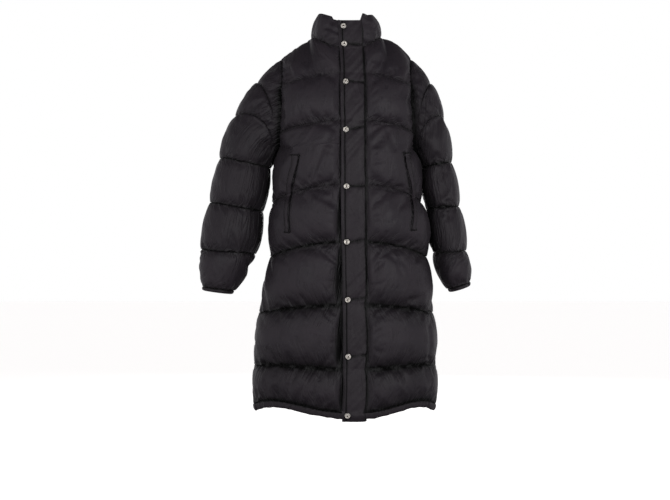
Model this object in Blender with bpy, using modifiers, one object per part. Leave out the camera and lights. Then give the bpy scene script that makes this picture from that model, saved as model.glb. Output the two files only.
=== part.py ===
"""Long down-filled puffer coat in its worn, hollow form.

Metres, +Z up. The wearer faces -Y, so the wearer's right side is at -X. The origin is the middle
of the neck at the height of the shoulders, where the wearer carries the coat.

Every panel is a padded wall: a surface through its seams, and a loft of down on both sides of it
that swells between the quilting seams. The surfaces come from the tables of sections below.
"""
import math
from collections import namedtuple

import bmesh
import bpy
from mathutils import Vector

# ---- sizes of the make-up --------------------------------------------------------------------
GAP = 0.00036              # between two pieces at a seam
CORNER_SLACK = 8           # times the gap where the side seam meets the armhole
SEAM_HALF = 0.0016         # half the wall where it is stitched through
LINING_SHARE = 0.45        # how much of the loft lies on the inner side
LOFT_POWER = 0.62          # under 1 fills a channel quickly beside its seams
SIDE_LOFT = [0.0, 0.72]    # share of the loft in the first columns from the side seam
FLAP_LOFT = [0.72, 0.16, 0.10]   # and in the last three, beside and under the flap
FLAP_HALF = 0.037          # half the width of the front flap
FLAP_SHOULDER = 0.022      # the loft rises this far beside the flap
FLAP_THICK = 0.0030
FLAP_CLEAR = 0.00095
HEM_DEPTH = 0.021
HEM_HALF = 0.0026
HEM_SECTIONS = [(1.0, HEM_HALF, 0.004), (0.5, HEM_HALF * 1.5, 0.001), (0.0, SEAM_HALF, 0.0)]
                           # share of the depth, half the thickness, how far it draws in
CUFF_DEPTH = 0.012
CUFF_HALF = 0.0022
CUFF_SECTIONS = [(0.0, SEAM_HALF), (0.5, CUFF_HALF * 1.3), (1.0, CUFF_HALF)]
CUFF_DRAW = 0.002          # how far the binding draws in at its mouth
COLLAR_FRONT_GAP = 0.0020  # from each end of the collar to the middle, under the flap
WELT_THICK = 0.0018
WELT_CLEAR = 0.0012

SHOULDER_COLUMNS = 4       # columns of the grid along the shoulder seam
NECK_COLUMNS = 4           # columns from the neck point to the front or back middle
QUARTER = SHOULDER_COLUMNS + NECK_COLUMNS
SHOULDER_ROUND = [1.0, 1.0, 0.85, 0.60, 0.35, 0.15, 0.0, 0.0, 0.0]   # by column: rolls to the back

SNAP_RADIUS = 0.0085
SNAP_HEIGHT = 0.0040
SNAP_SEGMENTS = 12
SNAP_FROM_EDGE = 0.016     # from the free edge of the flap to the middle of a snap
SNAP_SEAT = 0.0004         # from the flap to the cap

# ---- the body: one row for each quilting seam, from the hem up ------------------------------
# steps and puff belong to the channel above the seam; lift raises the line between side and front
Level = namedtuple("Level", "name z_front z_side z_back x_right x_left x_front y_front y_back "
                            "lift swell_right swell_left steps puff")
LEVELS = [
    Level("hem", -1.096, -1.089, -1.084, -0.275, 0.266, 0.024, -0.137, 0.140, 0.020, 0.003, 0.003, 4, 0.014),
    Level("first", -0.972, -0.973, -0.966, -0.268, 0.261, 0.026, -0.14, 0.145, 0.008, 0.002, 0.004, 4, 0.017),
    Level("second", -0.788, -0.816, -0.800, -0.252, 0.252, 0.025, -0.146, 0.148, 0.0, 0.0, 0.004, 4, 0.017),
    Level("third", -0.606, -0.651, -0.628, -0.223, 0.237, 0.022, -0.150, 0.146, 0.0, 0.003, 0.006, 4, 0.017),
    Level("fourth", -0.440, -0.490, -0.452, -0.217, 0.221, 0.021, -0.150, 0.143, 0.0, 0.0, 0.004, 5, 0.016),
    Level("fifth", -0.257, -0.288, -0.262, -0.200, 0.204, 0.020, -0.138, 0.140, 0.0, 0.0, 0.0, 3, 0.014),
    Level("yoke", -0.118, -0.151, -0.112, -0.188, 0.190, 0.019, -0.116, 0.120, 0.0, 0.0, 0.0, 3, 0.009),
]
ARMHOLE_CHANNEL = 4        # the channel whose side holds the underarm
UNDERARM_SHARE = 0.6       # the share of its rows that lie below the underarm
SIDE_Y = 0.010             # the side and shoulder seams
BACK_MIDDLE_X = 0.003
ROUNDNESS = 2.35           # exponent of the body's sections

# ---- neck and armholes ----------------------------------------------------------------------
NECK_X, NECK_Z = 0.100, 0.004
NECK_FRONT = Vector((0.016, -0.100, -0.044))
NECK_BACK = Vector((0.003, 0.086, 0.020))
SHOULDER_X, SHOULDER_Z = 0.193, -0.062
UNDERARM_Z = -0.345
UNDERARM_RIGHT, UNDERARM_LEFT = -0.202, 0.203
ARMHOLE_FRONT, ARMHOLE_BACK = 0.084, 0.094     # how far it reaches before and behind the seams
ARMHOLE_HOLLOW = 0.010                         # how far it curves in towards the chest

# ---- collar: the section at its top edge ----------------------------------------------------
Edge = namedtuple("Edge", "name x y z")
COLLAR_TOP = {
    "front": Edge("front", 0.013, -0.090, 0.036),
    "side": Edge("side", 0.082, 0.008, 0.072),
    "back": Edge("back", 0.003, 0.076, 0.080),
}
COLLAR_STEPS = 4
COLLAR_PUFF = 0.010

# ---- sleeves: one row for each ring that is stitched right round, from the upper arm down -----
Ring = namedtuple("Ring", "name x y z half_width half_depth tilt steps puff")
SLEEVE_RIGHT = [
    Ring("upper arm", -0.304, 0.012, -0.370, 0.065, 0.078, 12, 4, 0.012),
    Ring("elbow",     -0.329, 0.010, -0.501, 0.075, 0.070, 10, 4, 0.012),
    Ring("forearm",   -0.353, 0.004, -0.634, 0.077, 0.063, 5, 4, 0.011),
    Ring("wrist",     -0.382, -0.004, -0.744, 0.044, 0.042, 8, 0, 0.0),
]
SLEEVE_LEFT = [
    Ring("upper arm", 0.2740, 0.030, -0.375, 0.031, 0.090, 10, 4, 0.011),
    Ring("elbow",     0.2985, 0.036, -0.502, 0.035, 0.090, 3, 4, 0.012),
    Ring("forearm",   0.3170, 0.034, -0.634, 0.040, 0.086, 2, 4, 0.014),
    Ring("wrist",     0.3400, 0.022, -0.735, 0.032, 0.052, 18, 0, 0.0),
]
CapSeam = namedtuple("CapSeam", "share steps puff")    # seams of the sleeve cap; share at its top
CAP_SEAMS = [CapSeam(0.0, 3, 0.007), CapSeam(0.28, 3, 0.010), CapSeam(0.61, 4, 0.012)]
CAP_FLOOR = 0.35           # how much of that share is left at the underarm
CAP_FALL = 1.3             # how fast it falls towards the underarm
CAP_FLAT = 0.018           # a channel narrower than this holds no loft
CAP_LOFT = 0.35            # the most loft for each metre of width beyond that
UNDERARM_PRESS = [(1, 0.75), (2, 0.35)]   # columns from the side, and the loft the sleeve takes there
PRESS_REACH = 1.6          # rows up and down that it takes it from

# ---- pocket welts: the free edge and the width, from the top down ----------------------------
WeltPoint = namedtuple("WeltPoint", "x z width")
WELT_RIGHT = [
    WeltPoint(-0.140, -0.357, 0.020),
    WeltPoint(-0.162, -0.458, 0.012),
    WeltPoint(-0.171, -0.525, 0.010),
    WeltPoint(-0.168, -0.578, 0.010),
]
WELT_LEFT = [
    WeltPoint(0.169, -0.350, 0.018),
    WeltPoint(0.192, -0.474, 0.011),
    WeltPoint(0.195, -0.530, 0.010),
    WeltPoint(0.191, -0.572, 0.010),
]

# ---- snaps: heights down the flap -----------------------------------------------------------
SNAP_HEIGHTS = [0.022, -0.031, -0.144, -0.285, -0.448, -0.607, -0.772, -0.935, -1.105]


# ---- curves ---------------------------------------------------------------------------------
def mix(a, b, t):
    return a + (b - a) * t


def ease(t):
    return t * t * (3 - 2 * t)


def catmull(values, t):
    """Smooth value at t, where values[i] is met at t = i; ends run straight on."""
    i = min(int(t), len(values) - 2)
    u = t - i
    p1, p2 = values[i], values[i + 1]
    p0 = values[i - 1] if i > 0 else p1 * 2 - p2
    p3 = values[i + 2] if i + 2 < len(values) else p2 * 2 - p1
    return (p1 * 2 + (p2 - p0) * u + (p0 * 2 - p1 * 5 + p2 * 4 - p3) * u ** 2
            + (p1 * 3 - p0 - p2 * 3 + p3) * u ** 3) / 2


def resample(points, distances):
    """Points at these distances from the end of a polyline, given from its start to its end."""
    spans = [(b - a).length for a, b in zip(points, points[1:])]
    total = sum(spans)
    result = []
    for distance in distances:
        left = total - distance(total)
        k = 0
        while k < len(spans) - 1 and left > spans[k]:
            left -= spans[k]
            k += 1
        result.append(points[k].lerp(points[k + 1], min(max(left / spans[k], 0.0), 1.0)))
    return result


def quarter(side, middle, lift=0.0, samples=60):
    """A quarter of a rounded section, from the side seam to the front or back middle."""
    points = []
    for i in range(samples + 1):
        angle = math.pi / 2 * i / samples
        across = math.cos(angle) ** (2 / ROUNDNESS)
        along = math.sin(angle) ** (2 / ROUNDNESS)
        z = mix(side.z, middle.z, ease(i / samples)) + lift * math.sin(math.pi * i / samples) ** 2
        points.append(Vector((mix(middle.x, side.x, across), mix(side.y, middle.y, along), z)))
    return points


def front_spacing(with_neck):
    """Distances from the front middle of the columns, from the side to the middle."""
    near = [FLAP_HALF + FLAP_SHOULDER, FLAP_HALF, 0.0]
    count = NECK_COLUMNS - 2 if with_neck else QUARTER - 2
    far = [lambda total, k=k: mix(total, near[0], k / count) for k in range(count)]
    return far + [lambda total, d=d: d for d in near]


def even_spacing(count):
    return [lambda total, k=k: total * (1 - k / count) for k in range(count + 1)]


# ---- the body grid: 4 quarters, each from its side seam to its middle ------------------------
def armhole_point(side, front, turn):
    """A point of the armhole; turn runs from 0 at the underarm to pi at the shoulder."""
    bottom = UNDERARM_RIGHT if side < 0 else UNDERARM_LEFT
    x = mix(bottom, side * SHOULDER_X, (1 - math.cos(turn)) / 2)
    x -= side * ARMHOLE_HOLLOW * math.sin(turn)
    reach = -ARMHOLE_FRONT if front else ARMHOLE_BACK
    z = mix(UNDERARM_Z, SHOULDER_Z, (1 - math.cos(turn)) / 2)
    return Vector((x, SIDE_Y + reach * math.sin(turn), z))


def armhole_turn(z):
    share = (z - UNDERARM_Z) / (SHOULDER_Z - UNDERARM_Z)
    return math.acos(1 - 2 * min(max(share, 0.0), 1.0))


def row_places():
    """The place of every grid row among the levels: (position, channel, share of the channel)."""
    places = []
    for channel, level in enumerate(LEVELS):
        for step in range(level.steps):
            places.append((channel + step / level.steps, channel, step / level.steps))
    places.append((len(LEVELS), len(LEVELS) - 1, 1.0))
    return places


def column_of(name, place):
    return catmull([getattr(level, name) for level in LEVELS], place)


def side_height(place, channel):
    """The height of a row at the side; its rows are set so that one meets the underarm."""
    if channel == ARMHOLE_CHANNEL:
        low, high = LEVELS[channel].z_side, LEVELS[channel + 1].z_side
        share = place - channel
        if share <= UNDERARM_SHARE:
            return mix(low, UNDERARM_Z, share / UNDERARM_SHARE)
        return mix(UNDERARM_Z, high, (share - UNDERARM_SHARE) / (1 - UNDERARM_SHARE))
    return column_of("z_side", place)


def body_row(place, channel, side, front):
    """One grid row of a quarter, below the yoke seam or on it."""
    z_side = side_height(place, channel)
    swell = math.sin(math.pi * (place - channel))
    if z_side >= UNDERARM_Z - 1e-9:
        side_point = armhole_point(side, front, armhole_turn(z_side))
    else:
        x = column_of("x_right" if side < 0 else "x_left", place)
        x += side * swell * getattr(LEVELS[channel], "swell_right" if side < 0 else "swell_left")
        side_point = Vector((x, SIDE_Y, z_side))
    if front:
        middle = Vector((column_of("x_front", place), column_of("y_front", place),
                         column_of("z_front", place)))
        curve = quarter(side_point, middle, column_of("lift", place))
        return resample(curve, front_spacing(False))
    middle = Vector((BACK_MIDDLE_X, column_of("y_back", place), column_of("z_back", place)))
    return resample(quarter(side_point, middle), even_spacing(QUARTER))


def top_row(side, front):
    """Shoulder seam from the armhole to the neck point, then the neckline to the middle."""
    shoulder = armhole_point(side, front, math.pi)
    neck = Vector((side * NECK_X, SIDE_Y, NECK_Z))
    middle = NECK_FRONT if front else NECK_BACK
    seam = [shoulder.lerp(neck, k / SHOULDER_COLUMNS) for k in range(SHOULDER_COLUMNS)]
    line = quarter(neck, middle)
    spacing = front_spacing(True) if front else even_spacing(NECK_COLUMNS)
    return seam + resample(line, spacing)


def body_quarter(side, front):
    """All the rows of a quarter of the body, from the hem to the shoulder."""
    places = row_places()
    lower = [body_row(place, channel, side, front)
             for place, channel, share in places if place <= len(LEVELS) - 1]
    top = top_row(side, front)
    yoke, below = lower[-1], lower[-1 - LEVELS[-2].steps]
    other = body_row(len(LEVELS) - 1, len(LEVELS) - 1, side, not front)
    steps = LEVELS[-1].steps
    for step in range(1, steps + 1):
        share = step / steps
        row = []
        for c in range(QUARTER + 1):
            over = (top[c] * 2 - yoke[c]).lerp(other[c], SHOULDER_ROUND[c])
            knots = [below[c], yoke[c], top[c], over]
            row.append(catmull(knots, 1 + share))
        turn = mix(armhole_turn(LEVELS[-1].z_side), math.pi, share)
        row[0] = armhole_point(side, front, turn)
        lower.append(top if step == steps else row)
    return lower


# ---- a sheet: a grid of points with normals and the wall on both sides -----------------------
class Sheet:
    def __init__(self, points, ring=False):
        self.points = points
        self.ring = ring
        self.rows, self.columns = len(points), len(points[0])
        self.normals = [[self.normal_at(r, c) for c in range(self.columns)] for r in range(self.rows)]
        self.outer = [[SEAM_HALF] * self.columns for _ in points]
        self.inner = [[SEAM_HALF] * self.columns for _ in points]

    def normal_at(self, r, c):
        up = self.points[min(r + 1, self.rows - 1)][c] - self.points[max(r - 1, 0)][c]
        if self.ring:
            after, before = (c + 1) % self.columns, (c - 1) % self.columns
        else:
            after, before = min(c + 1, self.columns - 1), max(c - 1, 0)
        along = self.points[r][after] - self.points[r][before]
        return along.cross(up).normalized()

    def draw_in(self, r, c, towards):
        """Move an edge point away from its seam, along the surface, by half the gap."""
        point, normal = self.points[r][c], self.normals[r][c]
        path = self.points[towards[0]][towards[1]] - point
        path -= normal * path.dot(normal)
        return path.normalized() * GAP / 2

    def open_seams(self, edges, corner_row=-2):
        """Draw in the named edges: 'low' and 'high' rows, 'first' and 'last' columns.

        At corner_row, where a side seam turns into an armhole, the edge is drawn down as well.
        """
        moves = {}
        for r in range(self.rows):
            for c in range(self.columns):
                near = []
                if "low" in edges and r == 0:
                    near.append((1, c))
                if "high" in edges and r == self.rows - 1:
                    near.append((r - 1, c))
                if "first" in edges and c == 0:
                    near.append((r, 1))
                if "last" in edges and c == self.columns - 1:
                    near.append((r, c - 1))
                if near and r in (corner_row, corner_row + 1):
                    near = (near + [(r - 1, n[1]) for n in near]) * CORNER_SLACK
                if near:
                    moves[(r, c)] = sum((self.draw_in(r, c, n) for n in near), Vector())
        for (r, c), move in moves.items():
            self.points[r][c] = self.points[r][c] + move

    def outside(self, r, c):
        return self.points[r][c] + self.normals[r][c] * self.outer[r][c]

    def inside(self, r, c):
        return self.points[r][c] - self.normals[r][c] * self.inner[r][c]


def share_normals(spots):
    """Give the same normal to the points of several sheets that meet at a seam."""
    total = sum((sheet.normals[r][c] for sheet, r, c in spots), Vector()).normalized()
    for sheet, r, c in spots:
        sheet.normals[r][c] = total


def loft_profile(share):
    """The fill across a channel: nothing at both seams, quickly full between them."""
    return max(math.sin(math.pi * share), 0.0) ** LOFT_POWER


def fill(sheet, row_puffs, column_shares):
    """Set the wall of a sheet from the loft of its rows and the share of its columns."""
    for r, puff in enumerate(row_puffs):
        for c, share in enumerate(column_shares):
            loft = puff[c] * share if isinstance(puff, list) else puff * share
            sheet.outer[r][c] = SEAM_HALF + loft
            sheet.inner[r][c] = SEAM_HALF + loft * LINING_SHARE


# ---- making solids --------------------------------------------------------------------------
def finish(name, bm, material):
    bmesh.ops.recalc_face_normals(bm, faces=bm.faces)
    mesh = bpy.data.meshes.new(name)
    bm.to_mesh(mesh)
    bm.free()
    obj = bpy.data.objects.new(name, mesh)
    obj.data.materials.append(material)
    coat.objects.link(obj)
    mesh.shade_smooth()
    mesh.set_sharp_from_angle(angle=math.radians(50))
    return obj


def wall(name, outside, inside, material, ring=False):
    """A closed wall between two grids of the same size; a ring is joined to itself."""
    bm = bmesh.new()
    layers = [[[bm.verts.new(p) for p in row] for row in grid] for grid in (outside, inside)]
    rows, columns = len(outside), len(outside[0])
    spans = columns if ring else columns - 1

    def patch(a, b, c, d):
        bm.faces.new((a, b, c))
        bm.faces.new((a, c, d))

    for layer in layers:
        for r in range(rows - 1):
            for c in range(spans):
                n = (c + 1) % columns
                patch(layer[r][c], layer[r][n], layer[r + 1][n], layer[r + 1][c])
    out, inn = layers
    for r in (0, rows - 1):
        for c in range(spans):
            n = (c + 1) % columns
            patch(out[r][c], out[r][n], inn[r][n], inn[r][c])
    if not ring:
        for c in (0, columns - 1):
            for r in range(rows - 1):
                patch(out[r][c], out[r + 1][c], inn[r + 1][c], inn[r][c])
    return finish(name, bm, material)


def sheet_wall(name, sheet, material):
    grid = range(sheet.columns)
    outside = [[sheet.outside(r, c) for c in grid] for r in range(sheet.rows)]
    inside = [[sheet.inside(r, c) for c in grid] for r in range(sheet.rows)]
    return wall(name, outside, inside, material, sheet.ring)


# ---- sleeves --------------------------------------------------------------------------------
def ring_points(ring, side, count):
    """A ring round the arm; it starts at the body side and runs over the front to the back."""
    lean = math.radians(ring.tilt) * side
    points = []
    for k in range(count):
        angle = 2 * math.pi * k / count
        across = -side * math.cos(angle) * ring.half_width
        depth = -math.sin(angle) * ring.half_depth
        points.append(Vector((ring.x + across * math.cos(lean), ring.y + depth,
                              ring.z + across * math.sin(lean))))
    return points


def hermite(a, b, start, end, t):
    return (a * (2 * t ** 3 - 3 * t ** 2 + 1) + start * (t ** 3 - 2 * t ** 2 + t)
            + b * (3 * t ** 2 - 2 * t ** 3) + end * (t ** 3 - t ** 2))


def sleeve_sheet(side, rings, front, back):
    """The tube of a sleeve from the armhole of the body to the wrist, with its loft."""
    first = side_row_index()
    last = len(front) - 1
    armhole = [front[r][0] for r in range(first, last + 1)]
    armhole += [back[r][0] for r in range(last - 1, first, -1)]
    count = len(armhole)
    target = ring_points(rings[0], side, count)
    lean = math.radians(rings[0].tilt) * side
    arm_axis = Vector((math.sin(abs(lean)) * side, 0.0, -math.cos(lean)))
    rows, puffs = [], []
    caps = CAP_SEAMS + [CapSeam(1.0, 0, 0.0)]
    heights = [(p.z - UNDERARM_Z) / (SHOULDER_Z - UNDERARM_Z) for p in armhole]

    def cap_share(seam, k):
        drop = CAP_FLOOR + (1 - CAP_FLOOR) * max(heights[k], 0.0) ** CAP_FALL
        return 1.0 if seam.share == 1.0 else seam.share * drop

    for low, high in zip(caps, caps[1:]):
        for step in range(low.steps):
            share = step / low.steps
            row, puff = [], []
            for k in range(count):
                chord = (target[k] - armhole[k]).length
                leave = Vector((side * mix(0.98, 0.80, heights[k]), 0, -mix(0.15, 0.60, heights[k])))
                t0, t1 = cap_share(low, k), cap_share(high, k)
                row.append(hermite(armhole[k], target[k], leave * chord, arm_axis * chord * 0.9,
                                   mix(t0, t1, share)))
                room = (t1 - t0) * chord
                loft = min(low.puff, max(CAP_LOFT * (room - CAP_FLAT), 0.0))
                puff.append(loft * loft_profile(share))
            rows.append(row)
            puffs.append(puff)
    for index, ring in enumerate(rings[:-1]):
        for step in range(ring.steps):
            share = step / ring.steps
            here = Ring(ring.name, *(catmull([r[f] for r in rings], index + share)
                                     for f in range(1, 7)), 0, 0.0)
            rows.append(ring_points(here, side, count))
            puffs.append([ring.puff * loft_profile(share)] * count)
    rows.append(ring_points(rings[-1], side, count))
    puffs.append([0.0] * count)
    sheet = Sheet(rows, ring=True)
    half = len(rows) // 2
    if sheet.normals[half][0].dot(rows[half][0] - rows[half][count // 2]) < 0:
        sheet.normals = [[-n for n in row] for row in sheet.normals]
    fill(sheet, puffs, [1.0] * count)
    return sheet


def side_row_index():
    """The grid row that meets the underarm."""
    for index, (place, channel, share) in enumerate(row_places()):
        if channel == ARMHOLE_CHANNEL and share >= UNDERARM_SHARE - 1e-9:
            return index


# ---- collar ---------------------------------------------------------------------------------
def collar_top_row(side, front):
    corner = COLLAR_TOP["side"]
    edge = COLLAR_TOP["front" if front else "back"]
    curve = quarter(Vector((side * corner.x, corner.y, corner.z)), Vector((edge.x, edge.y, edge.z)))
    return resample(curve, front_spacing(True) if front else even_spacing(NECK_COLUMNS))


def collar_sheet(quarters):
    """The stand collar as one strip, from the right front edge round the back to the left."""
    def strip(pick):
        right_front = pick(-1, True)[::-1]
        right_back = pick(-1, False)[1:]
        left_back = pick(1, False)[::-1][1:]
        left_front = pick(1, True)[1:]
        return right_front + right_back + left_back + left_front

    base = strip(lambda side, front: quarters[(side, front)][-1][SHOULDER_COLUMNS:])
    top = strip(collar_top_row)
    rows = []
    for step in range(COLLAR_STEPS + 1):
        share = step / COLLAR_STEPS
        rows.append([a.lerp(b, share) for a, b in zip(base, top)])
    sheet = Sheet(rows)
    sheet.normals = [[-n for n in row] for row in sheet.normals]
    puffs = [COLLAR_PUFF * loft_profile(step / COLLAR_STEPS) for step in range(COLLAR_STEPS + 1)]
    last = sheet.columns - 1
    shares = [FLAP_LOFT[1] if c in (0, 1, last - 1, last) else 1.0 for c in range(sheet.columns)]
    fill(sheet, puffs, shares)
    for r in range(sheet.rows):
        share_normals([(sheet, r, 0), (sheet, r, last)])
        for end, inward in ((0, 1), (last, last - 1)):
            path = (rows[r][inward] - rows[r][end]).normalized()
            rows[r][end] = rows[r][end] + path * COLLAR_FRONT_GAP
    return sheet


# ---- materials ------------------------------------------------------------------------------
def make_material(name, colour, roughness, metallic=0.0):
    material = bpy.data.materials.new(name)
    material.use_nodes = True
    shader = material.node_tree.nodes["Principled BSDF"]
    shader.inputs["Base Color"].default_value = (*colour, 1.0)
    shader.inputs["Roughness"].default_value = roughness
    shader.inputs["Metallic"].default_value = metallic
    material.diffuse_color = (*colour, 1.0)
    return material


# ---- body panels ----------------------------------------------------------------------------
def side_share(column):
    """How full a channel is in this column, counted from the side seam or armhole."""
    return SIDE_LOFT[column] if column < len(SIDE_LOFT) else 1.0


def flatten_underarm(sheet, first=0, step=1):
    """Take loft out of a panel beside the underarm, where the sleeve presses on it."""
    middle = side_row_index() + 0.5
    for column, share in UNDERARM_PRESS:
        c = first + step * column
        for r in range(sheet.rows):
            keep = 1 - share * math.exp(-((r - middle) / PRESS_REACH) ** 2)
            sheet.outer[r][c] = SEAM_HALF + (sheet.outer[r][c] - SEAM_HALF) * keep
            sheet.inner[r][c] = SEAM_HALF + (sheet.inner[r][c] - SEAM_HALF) * keep


def body_sheets():
    """The sheets of the two fronts and the back, with normals shared at their seams."""
    quarters = {(side, front): body_quarter(side, front)
                for side in (-1, 1) for front in (True, False)}
    places = row_places()
    puffs = [LEVELS[channel].puff * loft_profile(share) for place, channel, share in places]
    front_shares = [side_share(c) for c in range(QUARTER - 2)] + FLAP_LOFT
    back_shares = [side_share(min(c, 2 * QUARTER - c)) for c in range(2 * QUARTER + 1)]

    fronts = {}
    for side in (-1, 1):
        fronts[side] = Sheet([list(row) for row in quarters[(side, True)]])
        if side > 0:
            fronts[side].normals = [[-n for n in row] for row in fronts[side].normals]
        fill(fronts[side], puffs, front_shares)
        flatten_underarm(fronts[side])
    back = Sheet([right + left[::-1][1:] for right, left in
                  zip(quarters[(-1, False)], quarters[(1, False)])])
    back.normals = [[-n for n in row] for row in back.normals]
    fill(back, puffs, back_shares)
    flatten_underarm(back)
    flatten_underarm(back, back.columns - 1, -1)
    return quarters, fronts, back


def seam_normals(fronts, back, sleeves, collar):
    """One normal for all the pieces that meet at each point of a seam."""
    top = back.rows - 1
    first = side_row_index()
    last_column = QUARTER
    for side, front in fronts.items():
        edge = 0 if side < 0 else back.columns - 1
        step = 1 if side < 0 else -1
        sleeve = sleeves[side]
        ring = sleeve.columns
        for r in range(top + 1):
            if r < first:
                share_normals([(front, r, 0), (back, r, edge)])
            elif r == first:
                share_normals([(front, r, 0), (back, r, edge), (sleeve, 0, 0)])
            elif r < top:
                share_normals([(front, r, 0), (sleeve, 0, r - first)])
                share_normals([(back, r, edge), (sleeve, 0, ring - (r - first))])
            else:
                share_normals([(front, r, 0), (back, r, edge), (sleeve, 0, ring // 2)])
        for c in range(1, SHOULDER_COLUMNS):
            share_normals([(front, top, c), (back, top, edge + step * c)])
        neck = QUARTER - NECK_COLUMNS
        for c in range(neck, last_column + 1):
            place = last_column - c if side < 0 else collar.columns - 1 - (last_column - c)
            spots = [(front, top, c), (collar, 0, place)]
            if c == neck:
                spots.append((back, top, edge + step * c))
            share_normals(spots)
    for c in range(1, 2 * NECK_COLUMNS):
        share_normals([(back, top, SHOULDER_COLUMNS + c), (collar, 0, NECK_COLUMNS + c)])
    for r in range(top + 1):
        share_normals([(fronts[-1], r, last_column), (fronts[1], r, last_column)])


# ---- trims that follow a panel --------------------------------------------------------------
def hem_wall(name, sheet, material):
    """The gathered channel below a panel's lowest row."""
    outside, inside = [], []
    for share, half, draw in HEM_SECTIONS:
        out_row, in_row = [], []
        for c in range(sheet.columns):
            normal = Vector((sheet.normals[0][c].x, sheet.normals[0][c].y, 0.0)).normalized()
            foot = sheet.points[0][c] - normal * draw
            foot.z -= share * HEM_DEPTH + GAP
            out_row.append(foot + normal * half)
            in_row.append(foot - normal * half)
        outside.append(out_row)
        inside.append(in_row)
    return wall(name, outside, inside, material)


def cuff_wall(name, sheet, material):
    """The narrow gathered binding below a sleeve's last ring."""
    last = sheet.rows - 1
    middle = sum(sheet.points[last], Vector()) / sheet.columns
    axis = (middle - sum(sheet.points[last - 1], Vector()) / sheet.columns).normalized()
    outside, inside = [], []
    for share, half in CUFF_SECTIONS:
        out_row, in_row = [], []
        for c, point in enumerate(sheet.points[last]):
            radial = point - middle
            radial = (radial - axis * radial.dot(axis)).normalized()
            normal = sheet.normals[last][c].lerp(radial, share).normalized()
            onward = sheet.draw_in(last, c, (last - 1, c)) * -2
            foot = point + onward + axis * share * CUFF_DEPTH - radial * CUFF_DRAW * share
            out_row.append(foot + normal * half)
            in_row.append(foot - normal * half)
        outside.append(out_row)
        inside.append(in_row)
    return wall(name, outside, inside, material, ring=True)


def flap_rows(fronts, collar):
    """The line of the flap: rows of three points with their normals, from the hem to the collar."""
    rows = []
    right, left = fronts[-1], fronts[1]
    middle = QUARTER
    for share, half, draw in HEM_SECTIONS[:-1]:
        row = []
        for sheet, c in ((right, middle - 1), (right, middle), (left, middle - 1)):
            normal = Vector((sheet.normals[0][c].x, sheet.normals[0][c].y, 0.0)).normalized()
            foot = sheet.points[0][c] - normal * draw
            foot.z -= share * HEM_DEPTH
            row.append((foot + normal * half, normal))
        rows.append(row)
    for r in range(right.rows):
        rows.append([(sheet.outside(r, c), sheet.normals[r][c])
                     for sheet, c in ((right, middle - 1), (right, middle), (left, middle - 1))])
    last = collar.columns - 1
    for r in range(1, collar.rows):
        rows.append([(collar.outside(r, c), collar.normals[r][c]) for c in (1, 0, last - 1)])
    return rows


def make_flap(fronts, collar, material):
    rows = flap_rows(fronts, collar)
    outside, inside = [], []
    for row in rows:
        inside.append([point + normal * FLAP_CLEAR for point, normal in row])
        outside.append([point + normal * (FLAP_CLEAR + FLAP_THICK) for point, normal in row])
    wall("front_flap", outside, inside, material)
    return outside


def make_snaps(outside, material):
    """The metal caps, on one line beside the free edge of the flap."""
    mesh = bpy.data.meshes.new("snap_cap")
    profile = [(0.0, SNAP_HEIGHT), (SNAP_RADIUS * 0.70, SNAP_HEIGHT * 0.88),
               (SNAP_RADIUS, SNAP_HEIGHT * 0.35), (SNAP_RADIUS, 0.0), (0.0, 0.0)]
    mesh.from_pydata([(x, 0.0, z) for x, z in profile],
                     [(k, k + 1) for k in range(len(profile) - 1)], [])
    mesh.materials.append(material)
    share = SNAP_FROM_EDGE / FLAP_HALF
    line = [row[0].lerp(row[1], share) for row in outside]

    def on_line(height):
        for r in range(len(line) - 1):
            if line[r].z <= height < line[r + 1].z or r == len(line) - 2:
                return r, line[r].lerp(line[r + 1], (height - line[r].z) / (line[r + 1].z - line[r].z))

    for number, height in enumerate(SNAP_HEIGHTS, start=1):
        r, place = on_line(height)
        below, above = on_line(height - SNAP_RADIUS)[1], on_line(height + SNAP_RADIUS)[1]
        normal = (outside[r][1] - outside[r][0]).cross(above - below).normalized()
        proud = max((below - place).dot(normal), (above - place).dot(normal), 0.0)
        snap = bpy.data.objects.new(f"snap_{number}", mesh)
        snap.location = place + normal * (SNAP_SEAT + proud)
        snap.rotation_euler = normal.to_track_quat("Z", "Y").to_euler()
        turn = snap.modifiers.new("Turn", "SCREW")
        turn.steps = turn.render_steps = SNAP_SEGMENTS
        turn.use_merge_vertices = True
        turn.merge_threshold = 0.0001
        coat.objects.link(snap)


def surface_slice(sheet, r, t):
    """The outside of a sheet at height share t between two rows, as its facets run: points, normals."""
    result = []
    for c in range(sheet.columns):
        low, high = sheet.outside(r, c), sheet.outside(r + 1, c)
        normal = sheet.normals[r][c].lerp(sheet.normals[r + 1][c], t)
        result.append((low.lerp(high, t), normal))
        if c < sheet.columns - 1 and 0 < t < 1:
            corner = sheet.outside(r + 1, c + 1)
            slant = sheet.normals[r][c].lerp(sheet.normals[r + 1][c + 1], t)
            result.append((low.lerp(corner, t), slant))
    return result


def surface_between(sheet, r, t, x):
    """Where the outside of a front crosses this x at height share t above a row, and its normal."""
    line = surface_slice(sheet, r, t)
    for (a, a_normal), (b, b_normal) in zip(line, line[1:]):
        if (a.x - x) * (b.x - x) <= 0 and a.x != b.x:
            u = (x - a.x) / (b.x - a.x)
            return a.lerp(b, u), a_normal.lerp(b_normal, u).normalized()


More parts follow.
